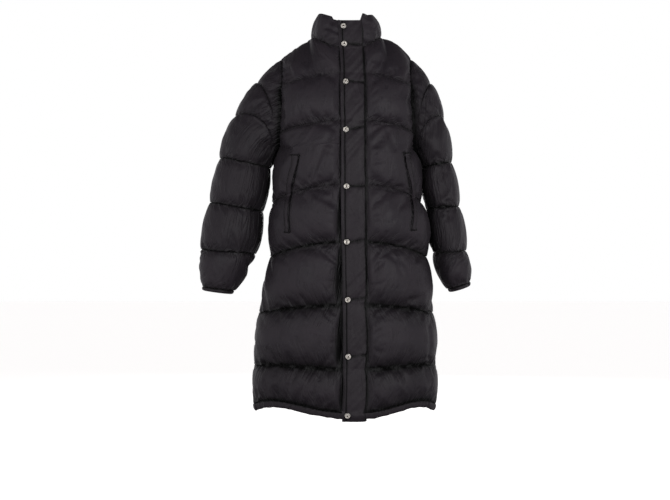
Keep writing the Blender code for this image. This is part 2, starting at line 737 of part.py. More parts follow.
def make_welt(name, sheet, side, table, material):
    """The welt of a pocket: a strip on the front, crossed by a section on each grid row."""
    def edge_at(z):
        for a, b in zip(table, table[1:]):
            if b.z <= z <= a.z:
                t = (a.z - z) / (a.z - b.z)
                return mix(a.x, b.x, t), mix(a.width, b.width, t)
        end = table[0] if z > table[0].z else table[-1]
        return end.x, end.width

    stations = []
    for r in range(sheet.rows - 1):
        for t in (0.0, 0.5):
            point, normal = surface_between(sheet, r, t, mix(table[0].x, table[-1].x, 0.5))
            if table[-1].z <= point.z <= table[0].z:
                stations.append((r, t))
    outside, inside = [], []
    for r, t in stations:
        guess, normal = surface_between(sheet, r, t, table[0].x)
        x, width = edge_at(guess.z)
        out_row, in_row = [], []
        for across in (0.0, 0.5, 1.0):
            point, normal = surface_between(sheet, r, t, x + side * width * across)
            in_row.append(point + normal * WELT_CLEAR)
            out_row.append(point + normal * (WELT_CLEAR + WELT_THICK))
        outside.append(out_row)
        inside.append(in_row)
    wall(name, outside, inside, material)


for leftover in list(bpy.data.objects):
    bpy.data.objects.remove(leftover, do_unlink=True)

coat = bpy.data.collections.new("long_puffer_coat")
bpy.context.scene.collection.children.link(coat)

shell_cloth = make_material("black_nylon", (0.026, 0.024, 0.026), 0.55)
trim_cloth = make_material("black_nylon_trim", (0.022, 0.021, 0.022), 0.6)
nickel = make_material("nickel", (0.62, 0.60, 0.57), 0.25, 1.0)

body_quarters, front_sheets, back_sheet = body_sheets()
sleeve_sheets = {
    -1: sleeve_sheet(-1, SLEEVE_RIGHT, body_quarters[(-1, True)], body_quarters[(-1, False)]),
    1: sleeve_sheet(1, SLEEVE_LEFT, body_quarters[(1, True)], body_quarters[(1, False)]),
}
collar = collar_sheet(body_quarters)
seam_normals(front_sheets, back_sheet, sleeve_sheets, collar)

for sheet in front_sheets.values():
    sheet.open_seams(("first", "last", "high"), side_row_index())
back_sheet.open_seams(("first", "last", "high"), side_row_index())
for sheet in sleeve_sheets.values():
    sheet.open_seams(("low",))
collar.open_seams(("low",))

names = {-1: "right", 1: "left"}
for side, word in names.items():
    sheet_wall(f"front_{word}", front_sheets[side], shell_cloth)
    sheet_wall(f"sleeve_{word}", sleeve_sheets[side], shell_cloth)
    hem_wall(f"hem_{word}", front_sheets[side], trim_cloth)
    cuff_wall(f"cuff_{word}", sleeve_sheets[side], trim_cloth)
sheet_wall("back", back_sheet, shell_cloth)
hem_wall("hem_back", back_sheet, trim_cloth)
sheet_wall("collar", collar, shell_cloth)
flap_outside = make_flap(front_sheets, collar, shell_cloth)
make_snaps(flap_outside, nickel)
make_welt("welt_right", front_sheets[-1], -1, WELT_RIGHT, trim_cloth)
make_welt("welt_left", front_sheets[1], 1, WELT_LEFT, trim_cloth)
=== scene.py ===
# Long black puffer coat in its worn, hollow form: down panels, a snapped flap, gathered hem and cuffs.
import math
from bisect import bisect_right

import bmesh
import bpy
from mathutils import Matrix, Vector, noise
from mathutils.bvhtree import BVHTree


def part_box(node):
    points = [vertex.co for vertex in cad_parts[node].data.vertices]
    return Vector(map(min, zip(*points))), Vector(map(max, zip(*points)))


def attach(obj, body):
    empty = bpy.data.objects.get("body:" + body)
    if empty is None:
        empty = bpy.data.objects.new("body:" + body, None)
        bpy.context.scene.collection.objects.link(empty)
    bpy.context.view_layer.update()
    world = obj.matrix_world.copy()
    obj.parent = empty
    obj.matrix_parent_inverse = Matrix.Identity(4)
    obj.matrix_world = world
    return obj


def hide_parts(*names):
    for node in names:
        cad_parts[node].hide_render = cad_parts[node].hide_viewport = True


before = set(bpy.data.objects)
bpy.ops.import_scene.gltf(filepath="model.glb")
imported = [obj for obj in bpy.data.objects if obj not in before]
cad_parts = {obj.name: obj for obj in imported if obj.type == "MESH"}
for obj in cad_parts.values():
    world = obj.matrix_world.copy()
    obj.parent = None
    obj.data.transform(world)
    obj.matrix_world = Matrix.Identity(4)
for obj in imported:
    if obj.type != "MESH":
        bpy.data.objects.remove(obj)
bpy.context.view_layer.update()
scene = bpy.context.scene

# camera and light
view = {
    "place": (-0.033, -3.20, -0.630),
    "width": 2.01,              # metres across the picture at the middle of the coat
}


def addCamera(settings):
    data = bpy.data.cameras.new("camera")
    data.sensor_fit = "HORIZONTAL"
    data.angle = 2 * math.atan(settings["width"] / 2 / -settings["place"][1])
    camera = bpy.data.objects.new("camera", data)
    camera.location = settings["place"]
    camera.rotation_euler = (math.radians(90), 0, 0)      # level, looking along +Y
    scene.collection.objects.link(camera)
    scene.camera = camera


studio = {
    "floor": -1.46,             # where the wearer's feet would be
    "floorSize": 14,            # half its width
    "paper": "#F4F3F2",
    "paperRoughness": 0.9,
    "backdrop": ("#FFFFFF", 1.0),
    # colour, strength, and the sines of the heights where it starts and ends to fade
    "ambient": ("#FBF8FC", 0.95, 0.10, 0.72),
    "floorGlow": 0.90,          # the sweep is lit by itself, as a light table is, and lights nothing else
    "lamps": {                  # place, what it points at, size, watts
        "soft key": ((1.5, -3.6, -0.15), (0.05, 0.0, -0.50), 1.5, 34),
        "soft fill": ((-1.5, -3.6, -0.25), (-0.05, 0.0, -0.50), 1.5, 18),
        "back light": ((0.3, 3.6, 0.2), (0.0, 0.1, -0.5), 1.8, 26),
    },
}


def toLinear(hexColour):
    # sRGB hex to the linear values that Blender's sockets take
    parts = [int(hexColour[i:i + 2], 16) / 255 for i in (1, 3, 5)]
    return [p / 12.92 if p <= 0.04045 else ((p + 0.055) / 1.055) ** 2.4 for p in parts] + [1.0]


def addNode(tree, kind, settings=None, inputs=None):
    # one node with its settings; each input takes a value or another node's output
    node = tree.nodes.new(kind)
    for key, value in (settings or {}).items():
        setattr(node, key, value)
    for key, value in (inputs or {}).items():
        if isinstance(value, bpy.types.NodeSocket):
            tree.links.new(value, node.inputs[key])
        else:
            node.inputs[key].default_value = value
    return node


def addStudio(settings):
    for name, (place, target, size, watts) in settings["lamps"].items():
        lamp = bpy.data.lights.new(name, "AREA")
        lamp.shape = "DISK"
        lamp.size = size
        lamp.energy = watts
        holder = bpy.data.objects.new(name, lamp)
        holder.location = place
        holder.rotation_euler = (Vector(target) - Vector(place)).to_track_quat("-Z", "Y").to_euler()
        scene.collection.objects.link(holder)
    # the eye sees a white backdrop; the coat is lit by a soft band of it all round the horizon
    world = bpy.data.worlds.new("studio air")
    world.use_nodes = True
    tree = world.node_tree
    air = tree.nodes["Background"]
    colour, strength, start, end = settings["ambient"]
    air.inputs["Color"].default_value = toLinear(colour)
    direction = addNode(tree, "ShaderNodeTexCoord").outputs["Generated"]
    height = addNode(tree, "ShaderNodeSeparateXYZ", inputs={"Vector": direction}).outputs["Z"]
    level = addNode(tree, "ShaderNodeMath", {"operation": "ABSOLUTE"}, {0: height}).outputs[0]
    band = addNode(tree, "ShaderNodeMapRange", {"interpolation_type": "SMOOTHSTEP"},
                   {"Value": level, "From Min": start, "From Max": end, "To Min": strength, "To Max": 0.0})
    tree.links.new(band.outputs["Result"], air.inputs["Strength"])
    drop = addNode(tree, "ShaderNodeBackground", inputs={"Color": toLinear(settings["backdrop"][0]),
                                                         "Strength": settings["backdrop"][1]})
    seen = addNode(tree, "ShaderNodeLightPath").outputs["Is Camera Ray"]
    both = addNode(tree, "ShaderNodeMixShader", inputs={0: seen, 1: air.outputs[0], 2: drop.outputs[0]})
    tree.links.new(both.outputs[0], tree.nodes["World Output"].inputs["Surface"])
    scene.world = world
    scene.view_settings.view_transform = "Standard"

    bm = bmesh.new()
    bmesh.ops.create_grid(bm, x_segments=2, y_segments=2, size=settings["floorSize"])
    bmesh.ops.translate(bm, vec=(0, 0, settings["floor"]), verts=bm.verts)
    paper = bpy.data.materials.new("white paper sweep")
    paper.use_nodes = True
    shader = paper.node_tree.nodes["Principled BSDF"]
    shader.inputs["Base Color"].default_value = toLinear(settings["paper"])
    shader.inputs["Roughness"].default_value = settings["paperRoughness"]
    shader.inputs["Emission Color"].default_value = toLinear(settings["paper"])
    shader.inputs["Emission Strength"].default_value = settings["floorGlow"]
    floor = meshObject("studio_floor", bm, paper, smooth=False)
    floor.visible_diffuse = False
    floor.visible_glossy = False


def meshObject(name, bm, material, smooth=True, sharpAngle=62):
    mesh = bpy.data.meshes.new(name)
    bm.to_mesh(mesh)
    bm.free()
    mesh.materials.append(material)
    if smooth:
        mesh.shade_smooth()
        mesh.set_sharp_from_angle(angle=math.radians(sharpAngle))
    obj = bpy.data.objects.new(name, mesh)
    scene.collection.objects.link(obj)
    return obj


# shape of the body
# one line for each quilting seam, from the hem up; puff and rows belong to the channel above it
seamKeys = ("zFront", "zSide", "zBack", "xRight", "xLeft", "xFront", "yFront", "yBack", "lift",
            "swellRight", "swellLeft", "puff", "rows")
body = {
    "seams": {
        "hem": (-1.096, -1.089, -1.084, -0.275, 0.266, 0.024, -0.137, 0.140, 0.025, 0, 0, 0.014, 28),
        "first": (-0.972, -0.973, -0.966, -0.272, 0.265, 0.026, -0.140, 0.145, 0.008, 0, 0.001, 0.017, 38),
        "second": (-0.788, -0.816, -0.800, -0.257, 0.256, 0.025, -0.146, 0.148, 0, 0, 0.002, 0.017, 38),
        "third": (-0.606, -0.651, -0.628, -0.223, 0.237, 0.022, -0.150, 0.146, 0, 0.003, 0.012, 0.017, 36),
        "fourth": (-0.440, -0.490, -0.452, -0.217, 0.221, 0.021, -0.150, 0.143, 0, 0, 0.004, 0.016, 40),
        "fifth": (-0.257, -0.288, -0.262, -0.200, 0.204, 0.020, -0.138, 0.140, 0, 0, 0, 0.014, 30),
        "yoke": (-0.118, -0.151, -0.112, -0.188, 0.190, 0.019, -0.116, 0.120, 0, 0, 0, 0.009, 26),
    },
    "sideY": 0.010,
    "backMiddleX": 0.003,
    "roundness": 2.35,          # exponent of the body's sections
    "seamHalf": 0.0016,         # half the wall where it is stitched through
    "liningShare": 0.45,        # how much of the loft lies on the inner side
    "loftPower": 0.62,          # under 1 fills a channel quickly beside its seams
    "loftAcross": (0, 0.66, 0.97, 1, 1, 1, 0.72, 0.16, 0.10),   # by column, from the side to the middle
    "backFullFrom": 4,          # column from which the back is as full as it is in the middle
    "leftLoft": {"from": 6.35, "over": 0.6, "least": 0.12},     # the wearer's left is full up to the flap
    "flat": {"from": 5.7, "over": 0.9},     # columns where the cloth comes to lie flat, under the flap
    "hip": {"below": 3, "columns": 1.8, "share": 0.35},         # loft left at the side, below this seam
    "shoulderRoll": (1, 1, 0.85, 0.60, 0.35, 0.15, 0, 0, 0),
    "shoulderPress": {"columns": 3.2, "from": 0.75, "over": 0.5, "share": 0.75},    # loft taken out there
    "kinks": {"passes": 40, "factor": 0.5, "reach": 0.5},       # reach in channels, round the underarm
    "neckColumn": 4,            # of 8, where the shoulder seam meets the neckline
    "neckPoint": (0.100, 0.004),
    "shoulderSwell": {-1: 0.002, 1: 0.013},
    "swellPower": 0.7,
    "shadeReach": (1.7, 2.2, 1.8, 1.05, 0.75, 0.75, 0.6, 0.5),     # how far each seam's painted shade reaches, from the hem up to the shoulder
    "neckFront": (0.016, -0.100, -0.044),
    "neckBack": (0.003, 0.086, 0.020),
    "columnCells": (13, 13, 13, 13, 13, 13, 7, 8),   # cloth cells in each column of a front
    "backCells": 12,
}
armhole = {
    "shoulder": (0.194, -0.060),
    "underarm": {-1: -0.202, 1: 0.203},
    "underarmZ": -0.345,
    "channel": 4,
    "underarmShare": 0.6,       # of that channel's rows, how many lie below the underarm
    "front": 0.084,
    "back": 0.094,
    "hollow": 0.010,
    # loft that the sleeve takes out beside it: share, columns from and over, height above it, reach
    "press": {"share": 0.75, "from": 1, "over": 2, "above": 0.012, "reach": 0.050},
}
flap = {"half": 0.037, "shoulder": 0.022, "thick": 0.0030, "clear": 0.00095}
flapCells = body["columnCells"][7]      # cloth cells on each side of the flap's middle
seamTable = [dict(zip(seamKeys, row)) for row in body["seams"].values()]
lastPlace = len(seamTable)


def mix(a, b, t):
    return a + (b - a) * t


def ease(t):
    t = min(max(t, 0.0), 1.0)
    return t * t * (3 - 2 * t)


def through(values, t):
    # smooth curve that meets values[i] at t = i
    i = min(int(t), len(values) - 2)
    u = t - i
    p1, p2 = values[i], values[i + 1]
    p0 = values[i - 1] if i > 0 else p1 * 2 - p2
    p3 = values[i + 2] if i + 2 < len(values) else p2 * 2 - p1
    return (p1 * 2 + (p2 - p0) * u + (p0 * 2 - p1 * 5 + p2 * 4 - p3) * u ** 2
            + (p1 * 3 - p0 - p2 * 3 + p3) * u ** 3) / 2


def steadily(values, t):
    # straight runs from one value to the next
    i = min(int(t), len(values) - 2)
    return mix(values[i], values[i + 1], t - i)


def ripple(u, v, size, seed=0.0):
    # soft irregular waves between -1 and 1, about this long
    return noise.noise(Vector((u / size, v / size, seed))) * 1.6


def quarterLine(side, middle, lift=0.0, samples=80):
    # a quarter of the body's rounded section, from the side seam to the front or back middle
    line = []
    power = 2 / body["roundness"]
    for i in range(samples + 1):
        turn = math.pi / 2 * i / samples
        z = mix(side.z, middle.z, ease(i / samples)) + lift * math.sin(math.pi * i / samples) ** 2
        line.append(Vector((mix(middle.x, side.x, math.cos(turn) ** power),
                            mix(side.y, middle.y, math.sin(turn) ** power), z)))
    return line


def placesFromEnd(line, distance, columns):
    # points of a line at distance(total, column) from its end
    reach = [0.0]
    for a, b in zip(line, line[1:]):
        reach.append(reach[-1] + (b - a).length)
    total = reach[-1]
    points = []
    for column in columns:
        want = min(max(total - distance(total, column), 0.0), total)
        k = min(bisect_right(reach, want) - 1, len(line) - 2)
        points.append(line[k].lerp(line[k + 1], (want - reach[k]) / (reach[k + 1] - reach[k])))
    return points


def frontSpacing(total, column, first=0):
    # distance from the front middle: even up to the flap's shoulder, then its two strips
    shoulder = flap["half"] + flap["shoulder"]
    if column <= 6:
        return mix(total, shoulder, (column - first) / (6 - first))
    if column <= 7:
        return mix(shoulder, flap["half"], column - 6)
    return mix(flap["half"], 0.0, column - 7)


def backSpacing(total, column, first=0):
    return total * (1 - (column - first) / (8 - first))


def armholePoint(side, front, turn):
    # turn runs from 0 at the underarm to pi at the shoulder
    rise = (1 - math.cos(turn)) / 2
    x = mix(armhole["underarm"][side], side * armhole["shoulder"][0], rise)
    x -= side * armhole["hollow"] * math.sin(turn)
    reach = -armhole["front"] if front else armhole["back"]
    z = mix(armhole["underarmZ"], armhole["shoulder"][1], rise)
    return Vector((x, body["sideY"] + reach * math.sin(turn), z))


def armholeTurn(z):
    share = (z - armhole["underarmZ"]) / (armhole["shoulder"][1] - armhole["underarmZ"])
    return math.acos(1 - 2 * min(max(share, 0.0), 1.0))


def onSeam(panel, r):
    return abs(panel["places"][r] - round(panel["places"][r])) < 1e-6


def seamValue(key, place):
    return through([seam[key] for seam in seamTable], min(place, lastPlace - 1))


def sideHeight(place):
    channel, share = int(place), place - int(place)
    if channel != armhole["channel"]:
        return seamValue("zSide", place)
    low, high = seamTable[channel]["zSide"], seamTable[channel + 1]["zSide"]
    split = armhole["underarmShare"]
    if share <= split:
        return mix(low, armhole["underarmZ"], share / split)
    return mix(armhole["underarmZ"], high, (share - split) / (1 - split))


def bodyRow(side, front, place, columns):
    # a row of a quarter, up to the yoke seam
    z = sideHeight(place)
    seam = seamTable[min(int(place), lastPlace - 1)]
    if z >= armhole["underarmZ"] - 1e-9:
        sidePoint = armholePoint(side, front, armholeTurn(z))
    else:
        x = seamValue("xRight" if side < 0 else "xLeft", place)
        swell = seam["swellRight" if side < 0 else "swellLeft"]
        sidePoint = Vector((x + side * swell * math.sin(math.pi * (place % 1)), body["sideY"], z))
    if front:
        middle = Vector([seamValue(key, place) for key in ("xFront", "yFront", "zFront")])
        line = quarterLine(sidePoint, middle, seamValue("lift", place))
        return placesFromEnd(line, frontSpacing, columns)
    middle = Vector((body["backMiddleX"], seamValue("yBack", place), seamValue("zBack", place)))
    return placesFromEnd(quarterLine(sidePoint, middle), backSpacing, columns)


def topRow(side, front, columns):
    # the shoulder seam up to the neck point, then the neckline to the middle
    split = body["neckColumn"]
    shoulder = armholePoint(side, front, math.pi)
    neck = Vector((side * body["neckPoint"][0], body["sideY"], body["neckPoint"][1]))
    middle = Vector(body["neckFront"] if front else body["neckBack"])
    spacing = frontSpacing if front else backSpacing
    seam = [shoulder.lerp(neck, column / split) for column in columns if column < split]
    for point, column in zip(seam, columns):
        swell = math.sin(math.pi * column / split) ** body["swellPower"]
        point.z += body["shoulderSwell"][side] * swell
    neckline = placesFromEnd(quarterLine(neck, middle), lambda total, c: spacing(total, c, split),
                             [column for column in columns if column >= split])
    return seam + neckline


def rowPlaces():
    places = []
    for channel, seam in enumerate(seamTable):
        places += [channel + k / seam["rows"] for k in range(seam["rows"])]
    return places + [float(lastPlace)]


def quarterColumns(front):
    cells = body["columnCells"] if front else [body["backCells"]] * 8
    columns = [c + k / count for c, count in enumerate(cells) for k in range(count)]
    return columns + [8.0]


def bodyQuarter(side, front):
    # all rows of a quarter of the body, from the hem to the shoulder, with its columns
    columns = quarterColumns(front)
    yokePlace = lastPlace - 1
    below = bodyRow(side, front, yokePlace - 1, columns)
    yoke = bodyRow(side, front, yokePlace, columns)
    other = bodyRow(side, not front, yokePlace, columns)
    top = topRow(side, front, columns)
    start = armholeTurn(seamTable[-1]["zSide"])
    rows = []
    for place in rowPlaces():
        if place <= yokePlace:
            rows.append(bodyRow(side, front, place, columns))
            continue
        share = place - yokePlace
        row = []
        for i, column in enumerate(columns):
            roll = steadily(body["shoulderRoll"], column)
            over = (top[i] * 2 - yoke[i]).lerp(other[i], roll)
            row.append(through([below[i], yoke[i], top[i], over], 1 + share))
        row[0] = armholePoint(side, front, mix(start, math.pi, share))
        rows.append(row)
    return rows, columns


def domed(share):
    # the fill across a channel: nothing at both seams, quickly full between them
    return max(math.sin(math.pi * share), 0.0) ** body["loftPower"]


# cloth panels: a grid of points with its loft, its normals and its cloth coordinates
def makePanel(points, loft, places, ring=False):
    rows, columns = len(points), len(points[0])
    panel = {"points": points, "loft": loft, "places": places, "ring": ring, "rows": rows,
             "columns": columns}
    normals = []
    for r in range(rows):
        line = []
        for c in range(columns):
            up = points[min(r + 1, rows - 1)][c] - points[max(r - 1, 0)][c]
            if ring:
                along = points[r][(c + 1) % columns] - points[r][c - 1]
            else:
                along = points[r][min(c + 1, columns - 1)] - points[r][max(c - 1, 0)]
            line.append(along.cross(up).normalized())
        normals.append(line)
    panel["normals"] = normals
    # cloth coordinates in metres: u along the row, v up the panel
    width = columns + ring
    panel["u"] = []
    for r in range(rows):
        reach = [0.0]
        for c in range(1, width):
            reach.append(reach[-1] + (points[r][c % columns] - points[r][c - 1]).length)
        panel["u"].append(reach)
    panel["v"] = [[0.0] * columns]
    for r in range(1, rows):
        below = panel["v"][-1]
        panel["v"].append([below[c] + (points[r][c] - points[r - 1][c]).length for c in range(columns)])
    return panel


# how far the painted shade of a seam reaches, in metres
seamShade = {
    "narrow": 0.05,             # a channel narrower than this gets lighter painted shade
    "narrowShare": 0.4,         # by this share of what it lacks
    "faintShade": 0.024,             # and so does a seam whose shade reach is under 1
}


def seamDistances(panel):
    # distance from each point to the nearest quilting seam, which sets the painted shade and the puckers; a
    # seam with more shade reach counts as nearer
    rows, columns = panel["rows"], panel["columns"]
    stitched = [r for r in range(rows) if onSeam(panel, r)]
    shadeReach = panel["shadeReach"]
    v = panel["v"]
    result = []
    for r in range(rows):
        below = max(s for s in stitched if s <= r)
        above = min(s for s in stitched if s >= r)
        low, high = (shadeReach[int(panel["places"][s] + 0.5)] for s in (below, above))
        lowFaint, highFaint = (max(1 - seamReach, 0) * seamShade["faintShade"] for seamReach in (low, high))
        line = []
        for c in range(columns):
            lack = max(seamShade["narrow"] - (v[above][c] - v[below][c]), 0.0) if above > below else 0.0
            fromBelow = (v[r][c] - v[below][c]) / low + lowFaint
            fromAbove = (v[above][c] - v[r][c]) / high + highFaint
            line.append(min(fromBelow, fromAbove) + lack * seamShade["narrowShare"])
        result.append(line)
    return result


def outerShape(panel, share, settings, seed):
    # the outer cloth at this share of the full loft, a little uneven
    shape = []
    for r in range(panel["rows"]):
        for c in range(panel["columns"]):
            uneven = ripple(panel["u"][r][c], panel["v"][r][c], settings["unevenSize"], seed)
            loft = panel["loft"][r][c] * share * (1 + settings["uneven"] * uneven)
            shape.append(panel["points"][r][c] + panel["normals"][r][c] * (body["seamHalf"] + loft))
    return shape


def clothGrids(bm, columns, rows, ring, layers, uvLayer=None, panel=None):
    # this many grids of cloth, rolled into tubes where the panel is a ring
    width = columns + ring
    size = width * rows
    for _ in range(layers):
        bmesh.ops.create_grid(bm, x_segments=width - 1, y_segments=rows - 1, size=0.5)
    bm.verts.ensure_lookup_table()
    bm.verts.index_update()
    if uvLayer:
        for face in bm.faces:
            for loop in face.loops:
                r, c = divmod(loop.vert.index % size, width)
                loop[uvLayer].uv = (panel["u"][r][c], panel["v"][r][c % columns])
    grids = [bm.verts[k * size:(k + 1) * size] for k in range(layers)]
    if ring:
        joined = {grid[r * width + columns]: grid[r * width] for grid in grids for r in range(rows)}
        grids = [[grid[r * width + c] for r in range(rows) for c in range(columns)] for grid in grids]
        bmesh.ops.weld_verts(bm, targetmap=joined)
    return grids


def puffUp(name, panel, settings, seed):
    # Cloth simulation: the outer cloth is cut larger than its place, held at its seams and blown up
    rows, columns, ring = panel["rows"], panel["columns"], panel["ring"]
    start = outerShape(panel, settings["startLoft"], settings, seed)
    bm = bmesh.new()
    verts = clothGrids(bm, columns, rows, ring, 1)[0]
    for vert, place in zip(verts, start):
        vert.co = place
    mesh = bpy.data.meshes.new(name)
    bm.to_mesh(mesh)
    bm.free()
    obj = bpy.data.objects.new(name, mesh)
    scene.collection.objects.link(obj)

    held = []
    for r in range(rows):
        for c in range(columns):
            if onSeam(panel, r) or (not ring and c in (0, columns - 1)):
                held.append(r * columns + c)
    group = obj.vertex_groups.new(name="stitched")
    group.add(held, 1.0, "REPLACE")
    lying = obj.vertex_groups.new(name="lies flat")
    for r in range(rows):
        for c in range(columns):
            lying.add([r * columns + c], panel["flat"][r][c], "REPLACE")

    cloth = obj.modifiers.new("down cloth", "CLOTH")
    cloth.settings.quality = settings["quality"]
    cloth.settings.mass = settings["mass"]
    cloth.settings.tension_stiffness = settings["tension"]
    cloth.settings.compression_stiffness = settings["compression"]
    cloth.settings.shear_stiffness = settings["shear"]
    cloth.settings.bending_stiffness = settings["bending"]
    cloth.settings.use_pressure = True
    cloth.settings.uniform_pressure_force = settings["pressure"]
    cloth.settings.vertex_group_mass = "stitched"
    cloth.settings.vertex_group_shrink = "lies flat"
    cloth.settings.shrink_min = -settings["fullness"]
    cloth.settings.shrink_max = -settings["flapFullness"]
    cloth.settings.effector_weights.gravity = 0
    cloth.collision_settings.use_collision = False
    cloth.collision_settings.use_self_collision = False
    cloth.point_cache.frame_start = 1
    cloth.point_cache.frame_end = settings["frames"]
    for step in range(1, settings["frames"] + 1):
        scene.frame_set(step)
    shaped = obj.evaluated_get(bpy.context.evaluated_depsgraph_get()).to_mesh()
    result = [b.co.copy() for b in shaped.vertices]
    scene.frame_set(1)
    bpy.data.objects.remove(obj, do_unlink=True)
    bpy.data.meshes.remove(mesh)
    return withinLimits(panel, settings, start, result)


def withinLimits(panel, settings, start, shape):
    # no point of cloth moves further than the cap or stands too far over the full loft
    result = []
    for k, (a, b) in enumerate(zip(start, shape)):
        r, c = divmod(k, panel["columns"])
        move = b - a
        if move.length > settings["cap"]:
            move *= settings["cap"] / move.length
        normal = panel["normals"][r][c]
        height = (a + move - panel["points"][r][c]).dot(normal)
        soft = panel.get("proud", settings["proud"]) * (1 - settings["flatCalm"] * panel["flat"][r][c])
        fullest = panel["loft"][r][c] * (1 + panel.get("proudShare", settings["proudShare"]))
        over = height - body["seamHalf"] - fullest
        if over > 0:            # eases into the limit
            move -= normal * (over - soft * math.tanh(over / soft))
        result.append(a + move)
    return result


def settle(panel, shape, passes, factor):
    # take the grid's own noise out of the cloth, and leave the stitched rows where they are
    rows, columns = panel["rows"], panel["columns"]
    for _ in range(passes):
        previous = list(shape)
        for r in range(1, rows - 1):
            if onSeam(panel, r):
                continue
            for c in range(columns):
                if not panel["ring"] and c in (0, columns - 1):
                    continue
                k = r * columns + c
                left = r * columns + (c - 1) % columns
                right = r * columns + (c + 1) % columns
                sides = previous[left] + previous[right]
                mean = (sides + previous[k - columns] + previous[k + columns]) / 4
                shape[k] = previous[k].lerp(mean, factor)
    return shape


def joinWalls(name, outer, inner, u, v, marks, ring, material):
    # an outer and an inner grid of points joined at their edges; marks fill the attribute seamDistance
    rows, columns = len(outer), len(outer[0])
    bm = bmesh.new()
    uvLayer = bm.loops.layers.uv.new("cloth")
    seamLayer = bm.verts.layers.float.new("seamDistance")
    if ring:                    # one tube, down the outside and back up the inside
        pairs = (outer, inner), (marks, marks), (u, u), (v, v)
        outer, marks, u, v = (a + b[::-1] + a[:1] for a, b in pairs)
        verts = clothGrids(bm, columns, len(outer), True, 1, uvLayer, {"u": u, "v": v})[0]
    else:
        verts = sum(clothGrids(bm, columns, rows, False, 2, uvLayer, {"u": u, "v": v}), [])
        outer, marks = outer + inner, marks + marks
    places = [point for row in outer for point in row]
    distances = [mark for row in marks for mark in row]
    for vert, place, distance in zip(verts, places, distances):
        vert.co = place
        vert[seamLayer] = distance
    if ring:
        bmesh.ops.weld_verts(bm, targetmap=dict(zip(verts[-columns:], verts[:columns])))
    else:
        bmesh.ops.bridge_loops(bm, edges=[e for e in bm.edges if e.is_boundary])
    bmesh.ops.recalc_face_normals(bm, faces=bm.faces)
    obj = meshObject(name, bm, material)
    print(name, len(obj.data.polygons), "faces")
    return obj


def closePanel(name, panel, outer, material):
    # the outer cloth and its lining, as one padded wall
    columns = panel["columns"]
    outerRows = [outer[r * columns:(r + 1) * columns] for r in range(panel["rows"])]
    lining = []
    for points, normals, lofts in zip(panel["points"], panel["normals"], panel["loft"]):
        depths = [body["seamHalf"] + loft * body["liningShare"] for loft in lofts]
        lining.append([point - normal * depth for point, normal, depth in zip(points, normals, depths)])
    marks = seamDistances(panel)
    if "extraMarks" in panel:
        extra = panel["extraMarks"](outerRows)
        marks = [[min(a, b) for a, b in zip(*rows)] for rows in zip(marks, extra)]
    return joinWalls(name, outerRows, lining, panel["u"], panel["v"], marks, panel["ring"], material)


# down panels
down = {
    "fill": 0.55,               # from 0, slack, to 1, tight
    "startLoft": 0.45,          # share of the full loft that the cloth starts from
    "uneven": 0.25,             # share by which that loft is uneven
    "unevenSize": 0.035,
    "fullness": 0.075,          # how much larger the cloth is cut than its place
    "flapFullness": 0.015,      # the same under the flap, where it lies flat
    "pressure": 3.0,
    "mass": 0.15,
    "tension": 10.0,
    "compression": 5.0,
    "shear": 2.0,
    "bending": 0.012,
    "quality": 4,
    "frames": 20,
    "cap": 0.016,               # the most that a point of cloth may move
    "proudShare": 0.22,         # and how far it may stand over the full loft
    "proud": 0.0035,
    "flatCalm": 0.93,           # share of that which cloth lying flat lacks
    "seedStep": 3.7,            # between the seeds of two panels
    "settlePasses": 1,
    "settleFactor": 0.3,
}


def loftShare(column, side=-1):
    if column < 1:
        return body["loftAcross"][1] * math.sin(math.pi / 2 * column) ** body["loftPower"]
    if side > 0 and column > 5:     # the wearer's left swells close up to the sewn edge of the flap
        left = body["leftLoft"]
        return mix(1.0, left["least"], ease((column - left["from"]) / left["over"]))
    return steadily(body["loftAcross"], column)


def pressedShare(point, column, place):
    # the loft left where the sleeve lies on the panel, at the hip's side and beside the shoulder
    press, hip, shoulder = armhole["press"], body["hip"], body["shoulderPress"]
    take = press["share"] * (1 - ease((column - press["from"]) / press["over"]))
    above = point.z - armhole["underarmZ"] - press["above"]
    left = 1 - take * math.exp(-(above / press["reach"]) ** 2)
    if place < hip["below"]:
        left *= mix(hip["share"], 1, ease(column / hip["columns"]))
    near = 1 - ease(column / shoulder["columns"])
    high = ease((place - lastPlace + shoulder["from"]) / shoulder["over"])
    return left * (1 - shoulder["share"] * near * high)


def channelPuff(place):
    share = place - int(place)
    return seamTable[min(int(place), lastPlace - 1)]["puff"] * domed(share) if place < lastPlace else 0.0


def easeKinks(points, places):
    # smooths the ground surface beside the underarm and below the neck point; edges stay
    kinks = body["kinks"]
    rows, columns = len(points), len(points[0])
    split = armhole["channel"] + armhole["underarmShare"]
    for step in range(kinks["passes"]):
        previous = [list(row) for row in points]
        for r in range(1, rows - 1):
            beside = abs(places[r] - split) < kinks["reach"] and step < kinks["passes"] / 2
            if not (beside or places[r] > lastPlace - 1):
                continue
            row, under, over = previous[r], previous[r - 1], previous[r + 1]
            for c in range(1, columns - 1):
                mean = (row[c - 1] + row[c + 1] + under[c] + over[c]) / 4
                points[r][c] = row[c].lerp(mean, kinks["factor"])


# painted shade on the fronts beside the flap's edges and in the pocket's mouth
flapShade = {
    "least": 0.0015,            # seam distance at the edges of the flap, in metres
    "more": 0.036,              # how much more it is where the dark ends
    "from": 0.3,                # the share of the dark's width where it begins to fade
    "over": 0.8,
    "mouth": 3.0,               # the pocket's mouth fades this many times faster than a seam
}


